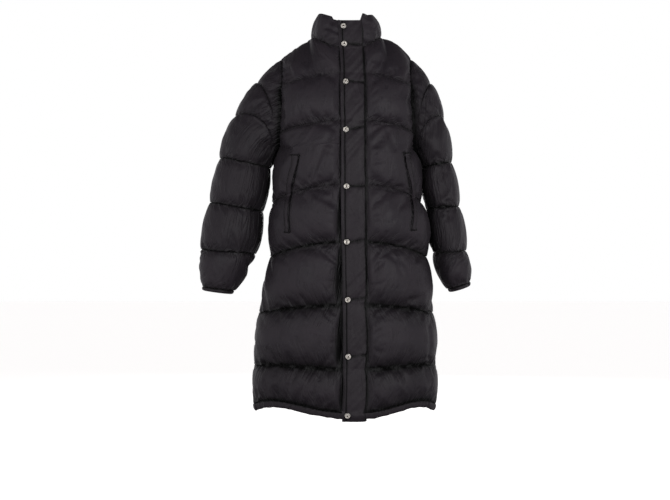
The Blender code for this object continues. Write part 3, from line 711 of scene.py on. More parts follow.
def frontPanel(side):
    rows, columns = bodyQuarter(side, True)
    places = rowPlaces()
    easeKinks(rows, places)
    loft = []
    for r, place in enumerate(places):
        puff = channelPuff(place)
        loft.append([puff * loftShare(c, side) * pressedShare(rows[r][i], c, place)
                     for i, c in enumerate(columns)])
    flat = [[ease((column - body["flat"]["from"]) / body["flat"]["over"]) for column in columns]
            for _ in places]
    if side > 0:                # grids run towards the wearer's left, so that they face outwards
        rows, loft, flat = ([row[::-1] for row in grid] for grid in (rows, loft, flat))
    panel = makePanel(rows, loft, places)
    panel["flat"] = flat
    panel["shadeReach"] = body["shadeReach"]
    edge = columns.index(7.0)
    edge = edge if side < 0 else len(columns) - 1 - edge
    slit = slitPath(side)

    def extraMarks(outer):
        # painted shade in the gap beside the flap and in the pocket's mouth, as dark as at a seam
        marks = []
        for r, row in enumerate(outer):
            reach, place = panel["u"][r], places[r]
            if side > 0:
                line, wide = reach[edge] - flapPinch(place, row[edge].z), flapMake["sewnShade"]
            else:
                line, wide = reach[edge], freeWidth(place)
            away = [(line - u) * -side / wide for u in reach]
            fade = [ease((share - flapShade["from"]) / flapShade["over"]) for share in away]
            mouth = [distanceToPath(point.x, point.z, slit) * flapShade["mouth"] for point in row]
            marks.append([min(flapShade["least"] + flapShade["more"] * share, near)
                          for share, near in zip(fade, mouth)])
        return marks

    panel["extraMarks"] = extraMarks
    return panel


def backPanel():
    places = rowPlaces()
    right, columns = bodyQuarter(-1, False)
    left, columns = bodyQuarter(1, False)
    points = [a + b[::-1][1:] for a, b in zip(left, right)]
    easeKinks(points, places)
    across = columns + columns[::-1][1:]
    loft = []
    for r, place in enumerate(places):
        puff = channelPuff(place)
        loft.append([puff * loftShare(min(c, body["backFullFrom"])) * pressedShare(points[r][i], c, place)
                     for i, c in enumerate(across)])
    panel = makePanel(points, loft, places)
    panel["flat"] = [[0.0] * len(across) for _ in places]
    panel["shadeReach"] = body["shadeReach"]
    return panel


# collar
collarShape = {
    "topFront": (0.013, -0.090, 0.036),
    "topSide": (0.079, 0.008, 0.072),
    "topBack": (0.003, 0.076, 0.076),
    # how far the top edge rises, from the side to the front, and from the side to the back
    "rise": {-1: (0.001, 0.005, 0.007, 0.007, 0), 1: (0.0, 0.001, 0.007, 0.018, 0.018)},
    "riseBack": (0.004, 0, 0, 0),
    "riseEnds": {-1: 6.0, 1: 7.0},      # the column where the top edge steps down to go under the flap
    "step": 0.25,               # and in how many columns it does
    "puff": 0.0085,
    "rows": 20,
    "frontGap": 0.002,
    "flat": 6.2,                # column from which the cloth lies flat
    # how far the painted shade of its base and its top edge reaches
    "shadeReach": (0.8, 0.3),
}


def collarPanel(risen):
    # the top edge rises at the sides; without the rise it is the line that the flap follows
    split = body["neckColumn"]

    def topEdge(side, front, columns):
        corner = Vector((side * collarShape["topSide"][0], *collarShape["topSide"][1:]))
        edge = Vector(collarShape["topFront" if front else "topBack"])
        spacing = frontSpacing if front else backSpacing
        line = placesFromEnd(quarterLine(corner, edge), lambda total, c: spacing(total, c, split), columns)
        if risen:
            rise, end = collarShape["rise"][side], collarShape["riseEnds"][side]
            steps = rise if front else (rise[0], *collarShape["riseBack"])
            for point, column in zip(line, columns):
                stays = 1 - ease((column - end) / collarShape["step"])
                point.z += through(steps, column - split) * stays
        return line

    frontColumns = [c for c in quarterColumns(True) if c >= split]
    backColumns = [c for c in quarterColumns(False) if c >= split]

    def strip(pick):
        leftFront = pick(1, True, frontColumns)[::-1]
        leftBack = pick(1, False, backColumns)[1:]
        rightBack = pick(-1, False, backColumns)[::-1][1:]
        rightFront = pick(-1, True, frontColumns)[1:]
        return leftFront + leftBack + rightBack + rightFront

    base = strip(lambda side, front, columns: topRow(side, front, columns))
    top = strip(topEdge)
    count = collarShape["rows"]
    points = [[a.lerp(b, k / count) for a, b in zip(base, top)] for k in range(count + 1)]
    for row in points:
        for end, inward in ((0, 1), (-1, -2)):
            row[end] = row[end] + (row[inward] - row[end]).normalized() * collarShape["frontGap"]
    across = [min(loftShare(c), 1.0) for c in frontColumns]
    middle = len(base) - 2 * len(across)
    shares = across[::-1] + [1.0] * middle + across
    places = [k / count for k in range(count + 1)]
    loft = [[collarShape["puff"] * domed(place) * share for share in shares] for place in places]
    panel = makePanel(points, loft, places)
    flat = [ease(c - collarShape["flat"]) for c in frontColumns]
    panel["flat"] = [flat[::-1] + [0.0] * middle + flat for _ in places]
    panel["shadeReach"] = collarShape["shadeReach"]
    return panel


# sleeves: rings stitched right round, from the upper arm down
ringKeys = ("x", "y", "z", "halfWidth", "halfDepth", "tilt", "puff", "rows")
sleeves = {
    -1: [(-0.303, 0.012, -0.370, 0.072, 0.078, 12, 0.012, 30),
         (-0.329, 0.010, -0.501, 0.075, 0.070, 10, 0.012, 30),
         (-0.353, 0.004, -0.634, 0.077, 0.063, 5, 0.011, 26),
         (-0.382, -0.004, -0.744, 0.044, 0.042, 8, 0.0, 0)],
    1: [(0.2730, 0.034, -0.375, 0.0415, 0.090, 10, 0.011, 30),
        (0.2930, 0.042, -0.502, 0.0450, 0.090, 3, 0.012, 30),
        (0.3140, 0.038, -0.634, 0.0435, 0.086, 2, 0.014, 26),
        (0.3400, 0.022, -0.735, 0.032, 0.052, 18, 0.0, 0)],
}
sleeveCap = {
    "seams": ((0.0, 0.007, 15), (0.28, 0.010, 18), (0.61, 0.012, 24), (1.0, 0.0, 0)),  # share, puff, rows
    "floor": 0.35,              # how much of that share is left at the underarm
    "fall": 1.3,                # how fast it falls towards the underarm
    "leaveOut": (0.98, 0.80),   # the way it leaves the armhole, at the underarm and at the shoulder
    "leaveDown": (0.15, 0.60),
    "arrive": 0.9,              # how straight it runs into the upper arm
    "topPress": 0.5,            # share of the first channel's puff taken out at the shoulder
    "topFrom": 0.75,            # share of the armhole's height above which it is
    "flat": 0.018,              # a channel narrower than this holds no down
    "steepness": 0.35,          # the most puff for each metre of width beyond that
    "columns": 128,
    "armholeKnots": 16,
    "fullAt": 0.009,
    "shadeReach": (0.9, 0.8, 0.8, 1.0, 1.1, 1.1, 0.8),     # how far each seam's painted shade reaches, from the armhole down
    "proudShare": 0.06,
    "proud": 0.0015,
}
# seam distances, in metres, that put painted shade on the sides of a sleeve and low on its cap
sleeveShade = {
    "least": 0.0018,
    "margin": 0.03,             # share of the way round, each side of the body's, that stays darkest
    "round": 0.075,             # what a whole turn adds
    "lower": (4.8, 1.2, 0.03),  # seam where it gets lighter, over how many, by how much
    "capLow": (0.008, 2.2, 0.001),      # low on the armhole: how wide, how slowly it fades, least
    "capHigh": (0.8, 0.004),    # at the shoulder
    "capBetween": (3.2, 5),     # where between them it changes
}


def ringPoints(ring, side, shares):
    # from the body side over the front to the back
    lean = math.radians(ring["tilt"]) * side
    points = []
    for share in shares:
        turn = 2 * math.pi * share
        across = -side * math.cos(turn) * ring["halfWidth"]
        points.append(Vector((ring["x"] + across * math.cos(lean),
                              ring["y"] - math.sin(turn) * ring["halfDepth"],
                              ring["z"] + across * math.sin(lean))))
    return points


def armholeRing(side, shares):
    # the armhole seam, with its points spread as the body's rows are
    split = armhole["channel"] + armhole["underarmShare"]
    places = [split, split + 0.2, 5, 5 + 1 / 3, 5 + 2 / 3]
    turns = [armholeTurn(sideHeight(place)) for place in places]
    yoke = armholeTurn(seamTable[-1]["zSide"])
    turns += [mix(yoke, math.pi, k / 3) for k in range(4)]
    points = []
    for share in shares:
        front = share <= 0.5
        knot = (share if front else 1 - share) * sleeveCap["armholeKnots"]
        points.append(armholePoint(side, front, min(max(through(turns, knot), 0.0), math.pi)))
    return points


def hermite(a, b, start, end, t):
    return (a * (2 * t ** 3 - 3 * t ** 2 + 1) + start * (t ** 3 - 2 * t ** 2 + t)
            + b * (3 * t ** 2 - 2 * t ** 3) + end * (t ** 3 - t ** 2))


def channelRows(places):
    # for each row, the rows of its own channel
    groups = {}
    for r, place in enumerate(places):
        groups.setdefault(int(place + 1e-6), []).append(r)
    return [groups[int(place + 1e-6)] for place in places]


def sleevePanel(side):
    rings = [dict(zip(ringKeys, ring)) for ring in sleeves[side]]
    count = sleeveCap["columns"]
    shares = [k / count for k in range(count)]
    start = armholeRing(side, shares)
    target = ringPoints(rings[0], side, shares)
    lean = math.radians(rings[0]["tilt"])
    armAxis = Vector((math.sin(lean) * side, 0.0, -math.cos(lean)))
    shoulderZ, underarmZ = armhole["shoulder"][1], armhole["underarmZ"]
    heights = [min(max((p.z - underarmZ) / (shoulderZ - underarmZ), 0.0), 1.0) for p in start]

    def capShare(share, k):
        drop = sleeveCap["floor"] + (1 - sleeveCap["floor"]) * heights[k] ** sleeveCap["fall"]
        return 1.0 if share == 1.0 else share * drop

    points, loft, places = [], [], []
    seams, topFrom = sleeveCap["seams"], sleeveCap["topFrom"]
    for channel, (low, high) in enumerate(zip(seams, seams[1:])):
        for step in range(low[2]):
            t = step / low[2]
            row, puffs = [], []
            for k in range(count):
                chord = (target[k] - start[k]).length
                outward = side * mix(*sleeveCap["leaveOut"], heights[k])
                leave = Vector((outward, 0, -mix(*sleeveCap["leaveDown"], heights[k])))
                arrive = armAxis * chord * sleeveCap["arrive"]
                t0, t1 = capShare(low[0], k), capShare(high[0], k)
                row.append(hermite(start[k], target[k], leave * chord, arrive, mix(t0, t1, t)))
                room = (t1 - t0) * chord
                puff = min(low[1], max(sleeveCap["steepness"] * (room - sleeveCap["flat"]), 0.0)) * domed(t)
                press = sleeveCap["topPress"] * ease((heights[k] - topFrom) / (1 - topFrom))
                puffs.append(puff * (1 - press) if channel == 0 else puff)
            points.append(row)
            loft.append(puffs)
            places.append(channel + t)
    for index, ring in enumerate(rings[:-1]):
        for step in range(ring["rows"]):
            t = step / ring["rows"]
            here = {key: through([r[key] for r in rings], index + t) for key in ringKeys[:6]}
            points.append(ringPoints(here, side, shares))
            loft.append([ring["puff"] * domed(t)] * count)
            places.append(len(seams) - 1 + index + t)
    points.append(ringPoints(rings[-1], side, shares))
    loft.append([0.0] * count)
    places.append(float(len(seams) - 1 + len(rings) - 1))
    if side > 0:
        points = [row[:1] + row[:0:-1] for row in points]
        loft = [row[:1] + row[:0:-1] for row in loft]
    panel = makePanel(points, loft, places, ring=True)
    panel["proud"], panel["proudShare"] = sleeveCap["proud"], sleeveCap["proudShare"]
    panel["shadeReach"] = sleeveCap["shadeReach"]

    def extraMarks(outer):
        # painted shade on the side that lies against the body, and on the cap low on the armhole
        shade = sleeveShade
        seam, over, lighter = shade["lower"]
        wide, slow, least = shade["capLow"]
        fast, lightest = shade["capHigh"]
        change, steep = shade["capBetween"]
        marks = []
        for r, place in enumerate(places):
            line = []
            for k in range(count):
                share = shares[-k % count if side > 0 else k]
                high = heights[-k % count if side > 0 else k]
                inner = max(min(share, 1 - share) - shade["margin"], 0.0)
                beside = shade["least"] + shade["round"] * inner + lighter * ease((place - seam) / over)
                fromCap = panel["v"][r][k]
                low = max(fromCap - wide, 0) / slow + least
                cap = mix(low, fromCap / fast + lightest, ease(high * steep - change))
                line.append(min(beside, cap))
            marks.append(line)
        return marks

    panel["extraMarks"] = extraMarks
    # where the cap runs out between its seams there is no room for fullness
    full = sleeveCap["fullAt"]
    panel["flat"] = [[0.0 if place >= len(seams) - 1 else 1 - ease(max(loft[r][k] for r in near) / full)
                      for k in range(count)] for place, near in zip(places, channelRows(places))]
    return panel


# creases pressed into the fronts, and 0 for the collar: points (x, z), half width, depth
creases = {
    -1: [
        ([(-0.041, -0.285), (-0.070, -0.350), (-0.104, -0.425)], 0.009, 0.0030),
        ([(-0.071, -0.335), (-0.098, -0.418), (-0.113, -0.440)], 0.007, 0.0022),
    ],
    1: [
        ([(0.110, -0.264), (0.124, -0.300), (0.141, -0.344)], 0.008, 0.0020),
        ([(0.150, -0.655), (0.172, -0.676), (0.186, -0.712)], 0.007, 0.0024),
        ([(0.118, -0.640), (0.146, -0.664), (0.160, -0.700)], 0.007, 0.0022),
        ([(0.240, -0.850), (0.246, -0.900), (0.240, -0.945)], 0.006, 0.0024),
    ],
    0: [([(-0.060, 0.022), (-0.045, 0.014), (-0.022, 0.003)], 0.006, 0.0045)],
}
# pocket mouths: the welt's free edge and its width, from the top down
welts = {
    -1: [(-0.140, -0.357, 0.020), (-0.162, -0.458, 0.012), (-0.171, -0.525, 0.010), (-0.168, -0.578, 0.010)],
    1: [(0.169, -0.350, 0.018), (0.192, -0.474, 0.011), (0.195, -0.530, 0.010), (0.191, -0.572, 0.010)],
}
weltMake = {
    "rise": 0.0012,             # off the front
    "thick": 0.0018,
    "lip": 0.0016,              # how much more the free edge stands off
    "lipEnd": 0.02,             # the length in which the lip runs out at both ends
    "sink": (0.72, 0.0026),     # share across from which the sewn edge sinks into its seam, and how deep
    "wave": (0.02, 0.0005),     # length and height
    "stitchLine": (0.78, 2, 0.0025),    # share across, how fast its painted shade fades, least seam distance
    "rows": 56,
    "across": 7,
    "slit": (0.0030, 0.0060),   # half width and depth of the mouth
    "slitOut": 0.8,             # half widths from the free edge to its middle
    "feel": ((0, 0), (0.005, 0), (-0.005, 0), (0, 0.006), (0, -0.006)),    # the front is averaged over these
}
tackMake = {                    # the bar of dense stitches at both ends of a mouth
    "size": (0.026, 0.0042, 0.0016),
    "reach": {"top": 1.0, "bottom": 0.55},
    "middle": 0.35,             # share across the welt
    "slant": 0.002,
    "threads": (60, 0.2),       # how dense and how deep the stitches show in its ridge
    "foot": 0.0008,
    # seam distance of the bar, which gives it part of a seam's painted shade
    "mark": 0.003,
}
creaseMake = {"reach": 3, "ridge": 0.45}     # half widths that a crease reaches, and its soft ridge


def slitPath(side):
    # the pocket's mouth runs just outside the welt's free edge
    out = weltMake["slit"][0] * weltMake["slitOut"]
    return [(x - side * out, z) for x, z, width in welts[side]]


def distanceToPath(x, z, path, overrun=0.25, taper=0.6, farAway=9.0):
    # runs out past both ends of the path by this share of its last stretch
    best = farAway
    for (x0, z0), (x1, z1) in zip(path, path[1:]):
        dx, dz = x1 - x0, z1 - z0
        t = ((x - x0) * dx + (z - z0) * dz) / (dx * dx + dz * dz)
        if t < -overrun or t > 1 + overrun:
            continue
        over = max(-t, t - 1, 0.0) * math.hypot(dx, dz)
        t = min(max(t, 0.0), 1.0)
        best = min(best, math.hypot(x - x0 - dx * t, z - z0 - dz * t) + over * taper)
    return best


def pressCreases(panel, shape, side):
    # side is that of a front, or 0 for the collar
    paths = list(creases[side])
    if side:
        paths.append((slitPath(side), *weltMake["slit"]))
    columns = panel["columns"]
    edge = columns - 1 - flapCells
    for k, point in enumerate(shape):
        r, c = divmod(k, columns)
        normal = panel["normals"][r][c]
        if side < 0:            # hollow beside the free edge of the flap, between the seams
            wide = freeWidth(panel["places"][r])
            away = (panel["u"][r][c] - panel["u"][r][edge]) / wide
            dip = wide * flapMake["freeDip"] * math.exp(-away * away * flapMake["freeFall"])
            shape[k] = shape[k] - normal * dip
        for path, width, depth in paths:
            near = distanceToPath(point.x, point.z, path) / width
            if near < creaseMake["reach"] and point.y < 0:
                # a valley with a soft ridge on both sides
                valley = (1 - creaseMake["ridge"] * near * near) * math.exp(-near * near / 2)
                shape[k] = shape[k] - normal * depth * valley
    return shape


# trims
# bulge: where down the band its gathers begin to stand out, and how far they go on
hem = {
    "depth": 0.021,
    "half": 0.0036,             # half the thickness, and what is left of it at the edges
    "edge": 0.0008,
    "draw": 0.004,              # how far its foot draws in
    "step": 0.0022,
    "rows": 10,
    "gather": 0.0016,
    "gatherSize": 0.0085,
    "slowGather": (0.5, 0.021),
    "gatherThick": 0.25,
    "bulge": (0.08, 0.8),
    "wander": (0.0012, 0.016),  # the foot's line goes up and down by this much, this long
    "gap": 0.0003,
    "cutMore": 1.12,            # the flat cut for what shows, because it is gathered
}
cuff = {
    "depth": 0.012,
    "half": 0.0030,
    "edge": 0.0008,
    "draw": 0.002,
    "step": 0.0022,
    "rows": 8,
    "gather": 0.0012,
    "gatherSize": 0.0075,
    "gatherRing": 0.04,         # radius of the ring on which the gathers' noise is read
    "gatherThick": 0.25,
    "bulge": (0.1, 0.8),
    "gap": 0.0004,
    "cutMore": 1.12,
}


def evenly(points, normals, step, ring=False):
    # a row of points and normals spread again at about this step, with their reach in metres
    points, normals = list(points), list(normals)
    if ring:
        points.append(points[0])
        normals.append(normals[0])
    reach = [0.0]
    for a, b in zip(points, points[1:]):
        reach.append(reach[-1] + (b - a).length)
    count = max(int(round(reach[-1] / step)), 4)
    result = []
    for k in range(count if ring else count + 1):
        want = reach[-1] * k / count
        i = min(bisect_right(reach, want) - 1, len(points) - 2)
        t = (want - reach[i]) / (reach[i + 1] - reach[i])
        normal = normals[i].lerp(normals[i + 1], t).normalized()
        result.append((points[i].lerp(points[i + 1], t), normal, want))
    return result, reach[-1]


def tubeHalf(share, settings):
    # half the thickness of a gathered channel, round like a flattened tube
    return settings["edge"] + settings["half"] * math.sqrt(max(1 - abs(2 * share - 1) ** 3, 0.0))


def bulge(share, settings):
    start, onward = settings["bulge"]
    return math.sin(math.pi * min(share * onward + start, 1))


def makeHem(name, panel, material, seed):
    spots, width = evenly(panel["points"][0], panel["normals"][0], hem["step"])
    slowShare, slowSize = hem["slowGather"]
    wander, wanderSize = hem["wander"]
    outer, inner, u, v, marks = [], [], [], [], []
    for k in range(hem["rows"], -1, -1):
        share = k / hem["rows"]
        rowOut, rowIn = [], []
        for point, normal, reach in spots:
            flat = Vector((normal.x, normal.y, 0)).normalized()
            wave = ripple(reach, 0, hem["gatherSize"], seed)
            wave += slowShare * ripple(reach, 0, slowSize, seed + 4)
            foot = point - flat * hem["draw"] * share ** 2 + flat * wave * hem["gather"] * bulge(share, hem)
            foot.z -= share * hem["depth"] + hem["gap"]
            foot.z -= share ** 3 * wander * ripple(reach, 3, wanderSize, seed)
            half = tubeHalf(share, hem) * (1 + hem["gatherThick"] * wave)
            rowOut.append(foot + flat * half)
            rowIn.append(foot - flat * half)
        outer.append(rowOut)
        inner.append(rowIn)
        u.append([reach for point, normal, reach in spots])
        v.append([(1 - share) * hem["depth"]] * len(spots))
        # seam distance from the body's hem seam: painted shade along the top of the band
        marks.append([share * hem["depth"]] * len(spots))
    obj = joinWalls(name, outer, inner, u, v, marks, False, material)
    return obj, (round(width * hem["cutMore"], 3), hem["depth"] * hem["cutMore"])


def makeCuff(name, panel, material, seed):
    last = panel["points"][-1]
    middle = sum(last, Vector()) / len(last)
    axis = (middle - sum(panel["points"][-2], Vector()) / len(last)).normalized()
    spots, width = evenly(last, panel["normals"][-1], cuff["step"], True)
    outer, inner, u, v, marks = [], [], [], [], []
    for k in range(cuff["rows"] + 1):
        share = k / cuff["rows"]
        rowOut, rowIn = [], []
        for point, normal, reach in spots:
            radial = point - middle
            radial = (radial - axis * radial.dot(axis)).normalized()
            turn = 2 * math.pi * reach / width
            place = math.cos(turn) * cuff["gatherRing"], math.sin(turn) * cuff["gatherRing"]
            wave = ripple(*place, cuff["gatherSize"], seed)
            foot = point + axis * (cuff["gap"] + share * cuff["depth"]) - radial * cuff["draw"] * share
            foot += radial * wave * cuff["gather"] * bulge(share, cuff)
            half = tubeHalf(share, cuff) * (1 + cuff["gatherThick"] * wave)
            rowOut.append(foot + radial * half)
            rowIn.append(foot - radial * half)
        outer.append(rowOut)
        inner.append(rowIn)
        u.append([reach for point, normal, reach in spots] + [width])
        v.append([-share * cuff["depth"]] * len(spots))
        # seam distance from the sleeve's end: painted shade along the band's seam
        marks.append([share * cuff["depth"]] * len(spots))
    obj = joinWalls(name, outer, inner, u, v, marks, True, material)
    return obj, (round(width * cuff["cutMore"], 3), cuff["depth"] * cuff["cutMore"])


# front flap
flapMake = {
    "across": (0, 0.8, 2, 4, 6.5, 9, 10.7, 12, 13.3, 15, 18, 21, 24, 27.5, 31, 34.5, 38, 41.5, 45, 48.5, 52,
               55.5, 59, 62.5, 65.5, 68, 70, 71.7, 73, 74),      # millimetres from the free edge
    "wall": 0.0024,
    "edgeStrip": 0.012,         # the stitched strip along the free edge
    "strip": 0.0007,            # how full it is
    "stitchDepth": 0.0014,
    "stitchHalf": 0.0013,
    "edgeRoll": (0.0010, 0.0022),       # how deep the free edge rolls over, and in what width
    "standOff": (0.0022, 0.025),        # how far it stands off the front between snaps, and in what width
    "wander": (0.0008, 0.06, 0.02),     # its line goes in and out by this much, this long, in this width
    "tuck": (0.0058, 0.009, 1.5),       # the sewn edge turns into its seam: depth, width, how late
    "pinch": 0.0065,            # how far the sewn edge is drawn in at each quilting seam
    "pinchBelow": (3.4, 0.8),   # below this seam, coming in over so many
    "pinchFrom": 0.55,          # share of the width from which the cloth goes with it
    "unevenEdge": (0.0012, 0.045),
    "quiet": 0.4,               # how tightly it is held at the hem and the collar, of a seam's 1
    "crumple": 0.0013,
    "crumpleEdge": 0.01,        # the crumples come in over this width beside the strip
    "crumples": ((0.7, 0.3, 0.030, 5), (0.9, 0.12, 0.012, 8)),     # slant, stretch, size, seed
    "seamDip": (0.0014, 0.010, 0.02),   # drawn down at a quilting seam: depth, from the edge, in what width
    "foot": 1.35,               # how far it runs down over the hem channel
    "footRows": 7,
    "footLoft": 0.0022,
    "bulge": (0.1, 0.8),
    "sewnDark": 0.0045,         # width of the painted shade strip along the flap's sewn edge
    "sewnShade": 0.0060,        # how far the seams' painted shade reaches on the front beside the sewn edge
    "freeLeast": 0.004,         # beside the free edge, the width of the hollow and of its painted shade: at least this, and by channel this much more
    "freeShade": (0.014, 0.048, 0.046, 0.022, 0.009, 0.006, 0.005),
    "freeLow": 0.6,             # under 1 moves the widest place down in the channel
    "freeDip": 0.20,            # depth of the hollow there, for its width
    "freeFall": 1.5,
    "freeDark": (3.3, 0.001, 0.6, 0.2),     # painted shade along the free edge, below this seam: least seam distance, slope at a seam, between
    "cut": (0.080, 1.205),      # what shows of it, laid flat
}
# crease from each snap but the first and the last to the sewn edge
foldMake = {
    "depth": 0.0032,
    "half": 0.0030,
    "rise": 0.010,
    "from": 0.008,              # beyond the middle of the snap
    "sway": (0.6, 57),          # least rise, and how unlike it is from snap to snap
    "starts": 2.5,
    # dark: painted shade down the crease: half width of its darkest, how fast it fades, least seam distance
    "dark": (0.0022, 0.7, 0.0008),
}
snap = {
    "heights": (0.022, -0.031, -0.144, -0.285, -0.448, -0.607, -0.772, -0.935, -1.105),
    "fromEdge": 0.016,
    "dark": (0.0095, 0.0010),   # radius of the painted shade round a cap, and least seam distance
    "dimple": (0.0012, 0.013),  # depth and reach
    "crease": (0.0011, 0.026),
    "creaseFrom": 0.008,
    "creasesEnd": 0.06,
    "star": ((0.5, 5, 40), (0.3, 3, -70)),      # creases round a snap: height, how many, turn by its place
    "profile": ((0, 1.9), (1.3, 1.85), (2.4, 1.6), (3.1, 1.2), (3.7, 0.95), (4.4, 1.1), (4.9, 1.9),
                (5.4, 2.8), (6.1, 3.4), (6.9, 3.5), (7.7, 3.0), (8.3, 2.0), (8.5, 0.9), (8.4, 0.1), (0, 0.1)),
    "recess": 2.7,              # millimetres, as the profile; inside it the cap takes the darker nickel, painted shade
    "seat": 0.0019,             # from the middle of the CAD cap down to the profile's foot
    "steps": 48,
    "across": (3, 9, 14),       # columns of the flap at one side, under the middle and at the other side
    "rowsOver": 3,              # rows above and below, for the flap's slope under a cap
}


def freeWidth(place):
    # width of the hollow beside the free edge, and of the painted shade there: widest low in each channel
    low = (place % 1) ** flapMake["freeLow"]
    most = flapMake["freeShade"][min(int(place), lastPlace - 1)]
    return flapMake["freeLeast"] + most * math.sin(math.pi * low)


def quiltedAt(place):
    # how tightly the flap is held down: 1 at a quilting seam, 0 in the middle of a channel
    return 1 - domed(place % 1) if 0 <= place < lastPlace else flapMake["quiet"]


def flapPinch(place, z):
    # how far the sewn edge stands in from its full width
    seam, over = flapMake["pinchBelow"]
    uneven, size = flapMake["unevenEdge"]
    return flapMake["pinch"] * quiltedAt(place) * ease((seam - place) / over) + uneven * ripple(z, 9, size)


def flapBase(right, left, collar):
    # rows of points, normals, lofts and place, from the hem to the top of the collar
    def row(pair, r, place):
        # the last columns of one panel and the first of the other, with the middle between them
        first, second = pair
        return [first[key][r][-flapCells - 1:] + second[key][r][1:flapCells + 1]
                for key in ("points", "normals", "loft")] + [place]

    rows = [row((right, left), r, right["places"][r]) for r in range(right["rows"])]
    points, normals = rows[0][:2]
    flat = [Vector((n.x, n.y, 0)).normalized() for n in normals]
    hemRows = []
    for k in range(flapMake["footRows"]):
        share = flapMake["foot"] * (1 - k / flapMake["footRows"])
        feet = [p - f * hem["draw"] * share ** 2 - Vector((0, 0, share * hem["depth"]))
                for p, f in zip(points, flat)]
        loft = flapMake["footLoft"] * bulge(share, flapMake)
        hemRows.append((feet, flat, [loft] * len(feet), -share))
    collarRows = [row((collar, collar), r, lastPlace + r / (collar["rows"] - 1))
                  for r in range(1, collar["rows"])]
    return hemRows + rows + collarRows


def flapRelief(d, reach, place, quilted):
    # how far the flap stands off its ground, d metres from the free edge
    width = flap["half"] * 2
    strip = flapMake["edgeStrip"]
    inside = ease((d - strip) / flapMake["crumpleEdge"])
    lift = 0.0
    for slant, stretch, size, seed in flapMake["crumples"]:
        lift += flapMake["crumple"] * ripple(d - reach * slant, reach * stretch, size, seed) * inside
    height, over = flapMake["standOff"]
    lift += height * (1 - quilted) * (1 - ease(d / over))
    if d < strip:
        lift += flapMake["strip"] * math.sin(math.pi * d / strip)
    lift -= flapMake["stitchDepth"] * math.exp(-((d - strip) / flapMake["stitchHalf"]) ** 2)
    depth, over = flapMake["edgeRoll"]
    lift -= depth * (1 - ease(d / over))
    depth, over, late = flapMake["tuck"]
    lift -= depth * ease((d - (width - over)) / over) ** late
    if 0 < place < lastPlace:
        depth, start, over = flapMake["seamDip"]
        lift -= depth * quilted ** 2 * ease((d - start) / over)
    return lift


def flapMark(d, place, quilted):
    # seam distance on the flap, which sets its painted shade: at its own stitching, at its sewn edge, and
    # along its free edge
    width = flap["half"] * 2
    mark = min(abs(d - flapMake["edgeStrip"]), max(width - d - flapMake["sewnDark"], 0.0))
    seam, least, held, loose = flapMake["freeDark"]
    if 0 < place < seam:
        mark = min(mark, least + d * mix(held, loose, 1 - quilted))
    return mark


def snapFolds(d, z):
    # what the snaps do to the flap here: height, and the seam distance that paints shade round each cap and
    # down its crease
    lift, marks = 0.0, []
    length = flap["half"] * 2 - snap["fromEdge"] - foldMake["from"]
    along = (d - snap["fromEdge"] - foldMake["from"]) / length
    sway, unlike = foldMake["sway"]
    wide, slope, least = foldMake["dark"]
    for height in snap["heights"]:
        if along > 0 and height in snap["heights"][1:-1]:
            level = height + foldMake["rise"] * along * (sway + math.sin(height * unlike))
            press = ease(along * foldMake["starts"]) * math.exp(-((z - level) / foldMake["half"]) ** 2)
            lift -= foldMake["depth"] * press
            marks.append(max(abs(z - level) - wide, 0.0) * slope + least)
        dz, dx = z - height, d - snap["fromEdge"]
        away = math.hypot(dx, dz)
        radius, darkest = snap["dark"]
        marks.append(max(away - radius, 0.0) + darkest)
        if away < snap["creasesEnd"]:
            turn = math.atan2(dz, dx)
            star = sum(high * math.cos(count * turn + height * shift) for high, count, shift in snap["star"])
            depth, size = snap["dimple"]
            lift -= depth * math.exp(-(away / size) ** 2)
            depth, size = snap["crease"]
            outside = ease((away - snap["creaseFrom"]) / snap["creaseFrom"])
            lift += depth * star * outside * math.exp(-(away / size) ** 2)
    return lift, min(marks)


def makeFlap(name, right, left, collar, material):
    width = flap["half"] * 2
    wander, wanderSize, wanderWidth = flapMake["wander"]
    pinchFrom = width * flapMake["pinchFrom"]
    outer, inner, u, v, marks = [], [], [], [], []
    reach = 0.0
    before = None
    for points, normals, lofts, place in flapBase(right, left, collar):
        middle = points[flapCells]
        reach += (middle - before).length if before else 0.0
        before = middle
        quilted = quiltedAt(place)
        pinch = flapPinch(place, middle.z)
        rowOut, rowIn, rowMarks = [], [], []
        distances = [mm / 1000 for mm in flapMake["across"]]
        for d in distances:
            pos = d - pinch * ease((d - pinchFrom) / (width - pinchFrom))
            pos += wander * ripple(reach, 2, wanderSize) * (1 - ease(d / wanderWidth))
            t = min(max(pos / width, 0.0), 1.0) * 2 * flapCells
            i = min(int(t), 2 * flapCells - 1)
            point = points[i].lerp(points[i + 1], t - i)
            normal = normals[i].lerp(normals[i + 1], t - i).normalized()
            fold, foldMark = snapFolds(d, point.z)
            lift = body["seamHalf"] + mix(lofts[i], lofts[i + 1], t - i) + flap["clear"] + flap["thick"]
            lift += flapRelief(d, reach, place, quilted) + fold
            rowOut.append(point + normal * lift)
            rowIn.append(point + normal * (lift - flapMake["wall"]))
            rowMarks.append(min(flapMark(d, place, quilted), foldMark))
        outer.append(rowOut)
        inner.append(rowIn)
        u.append(distances)
        v.append([reach] * len(distances))
        marks.append(rowMarks)
    return joinWalls(name, outer, inner, u, v, marks, False, material), outer


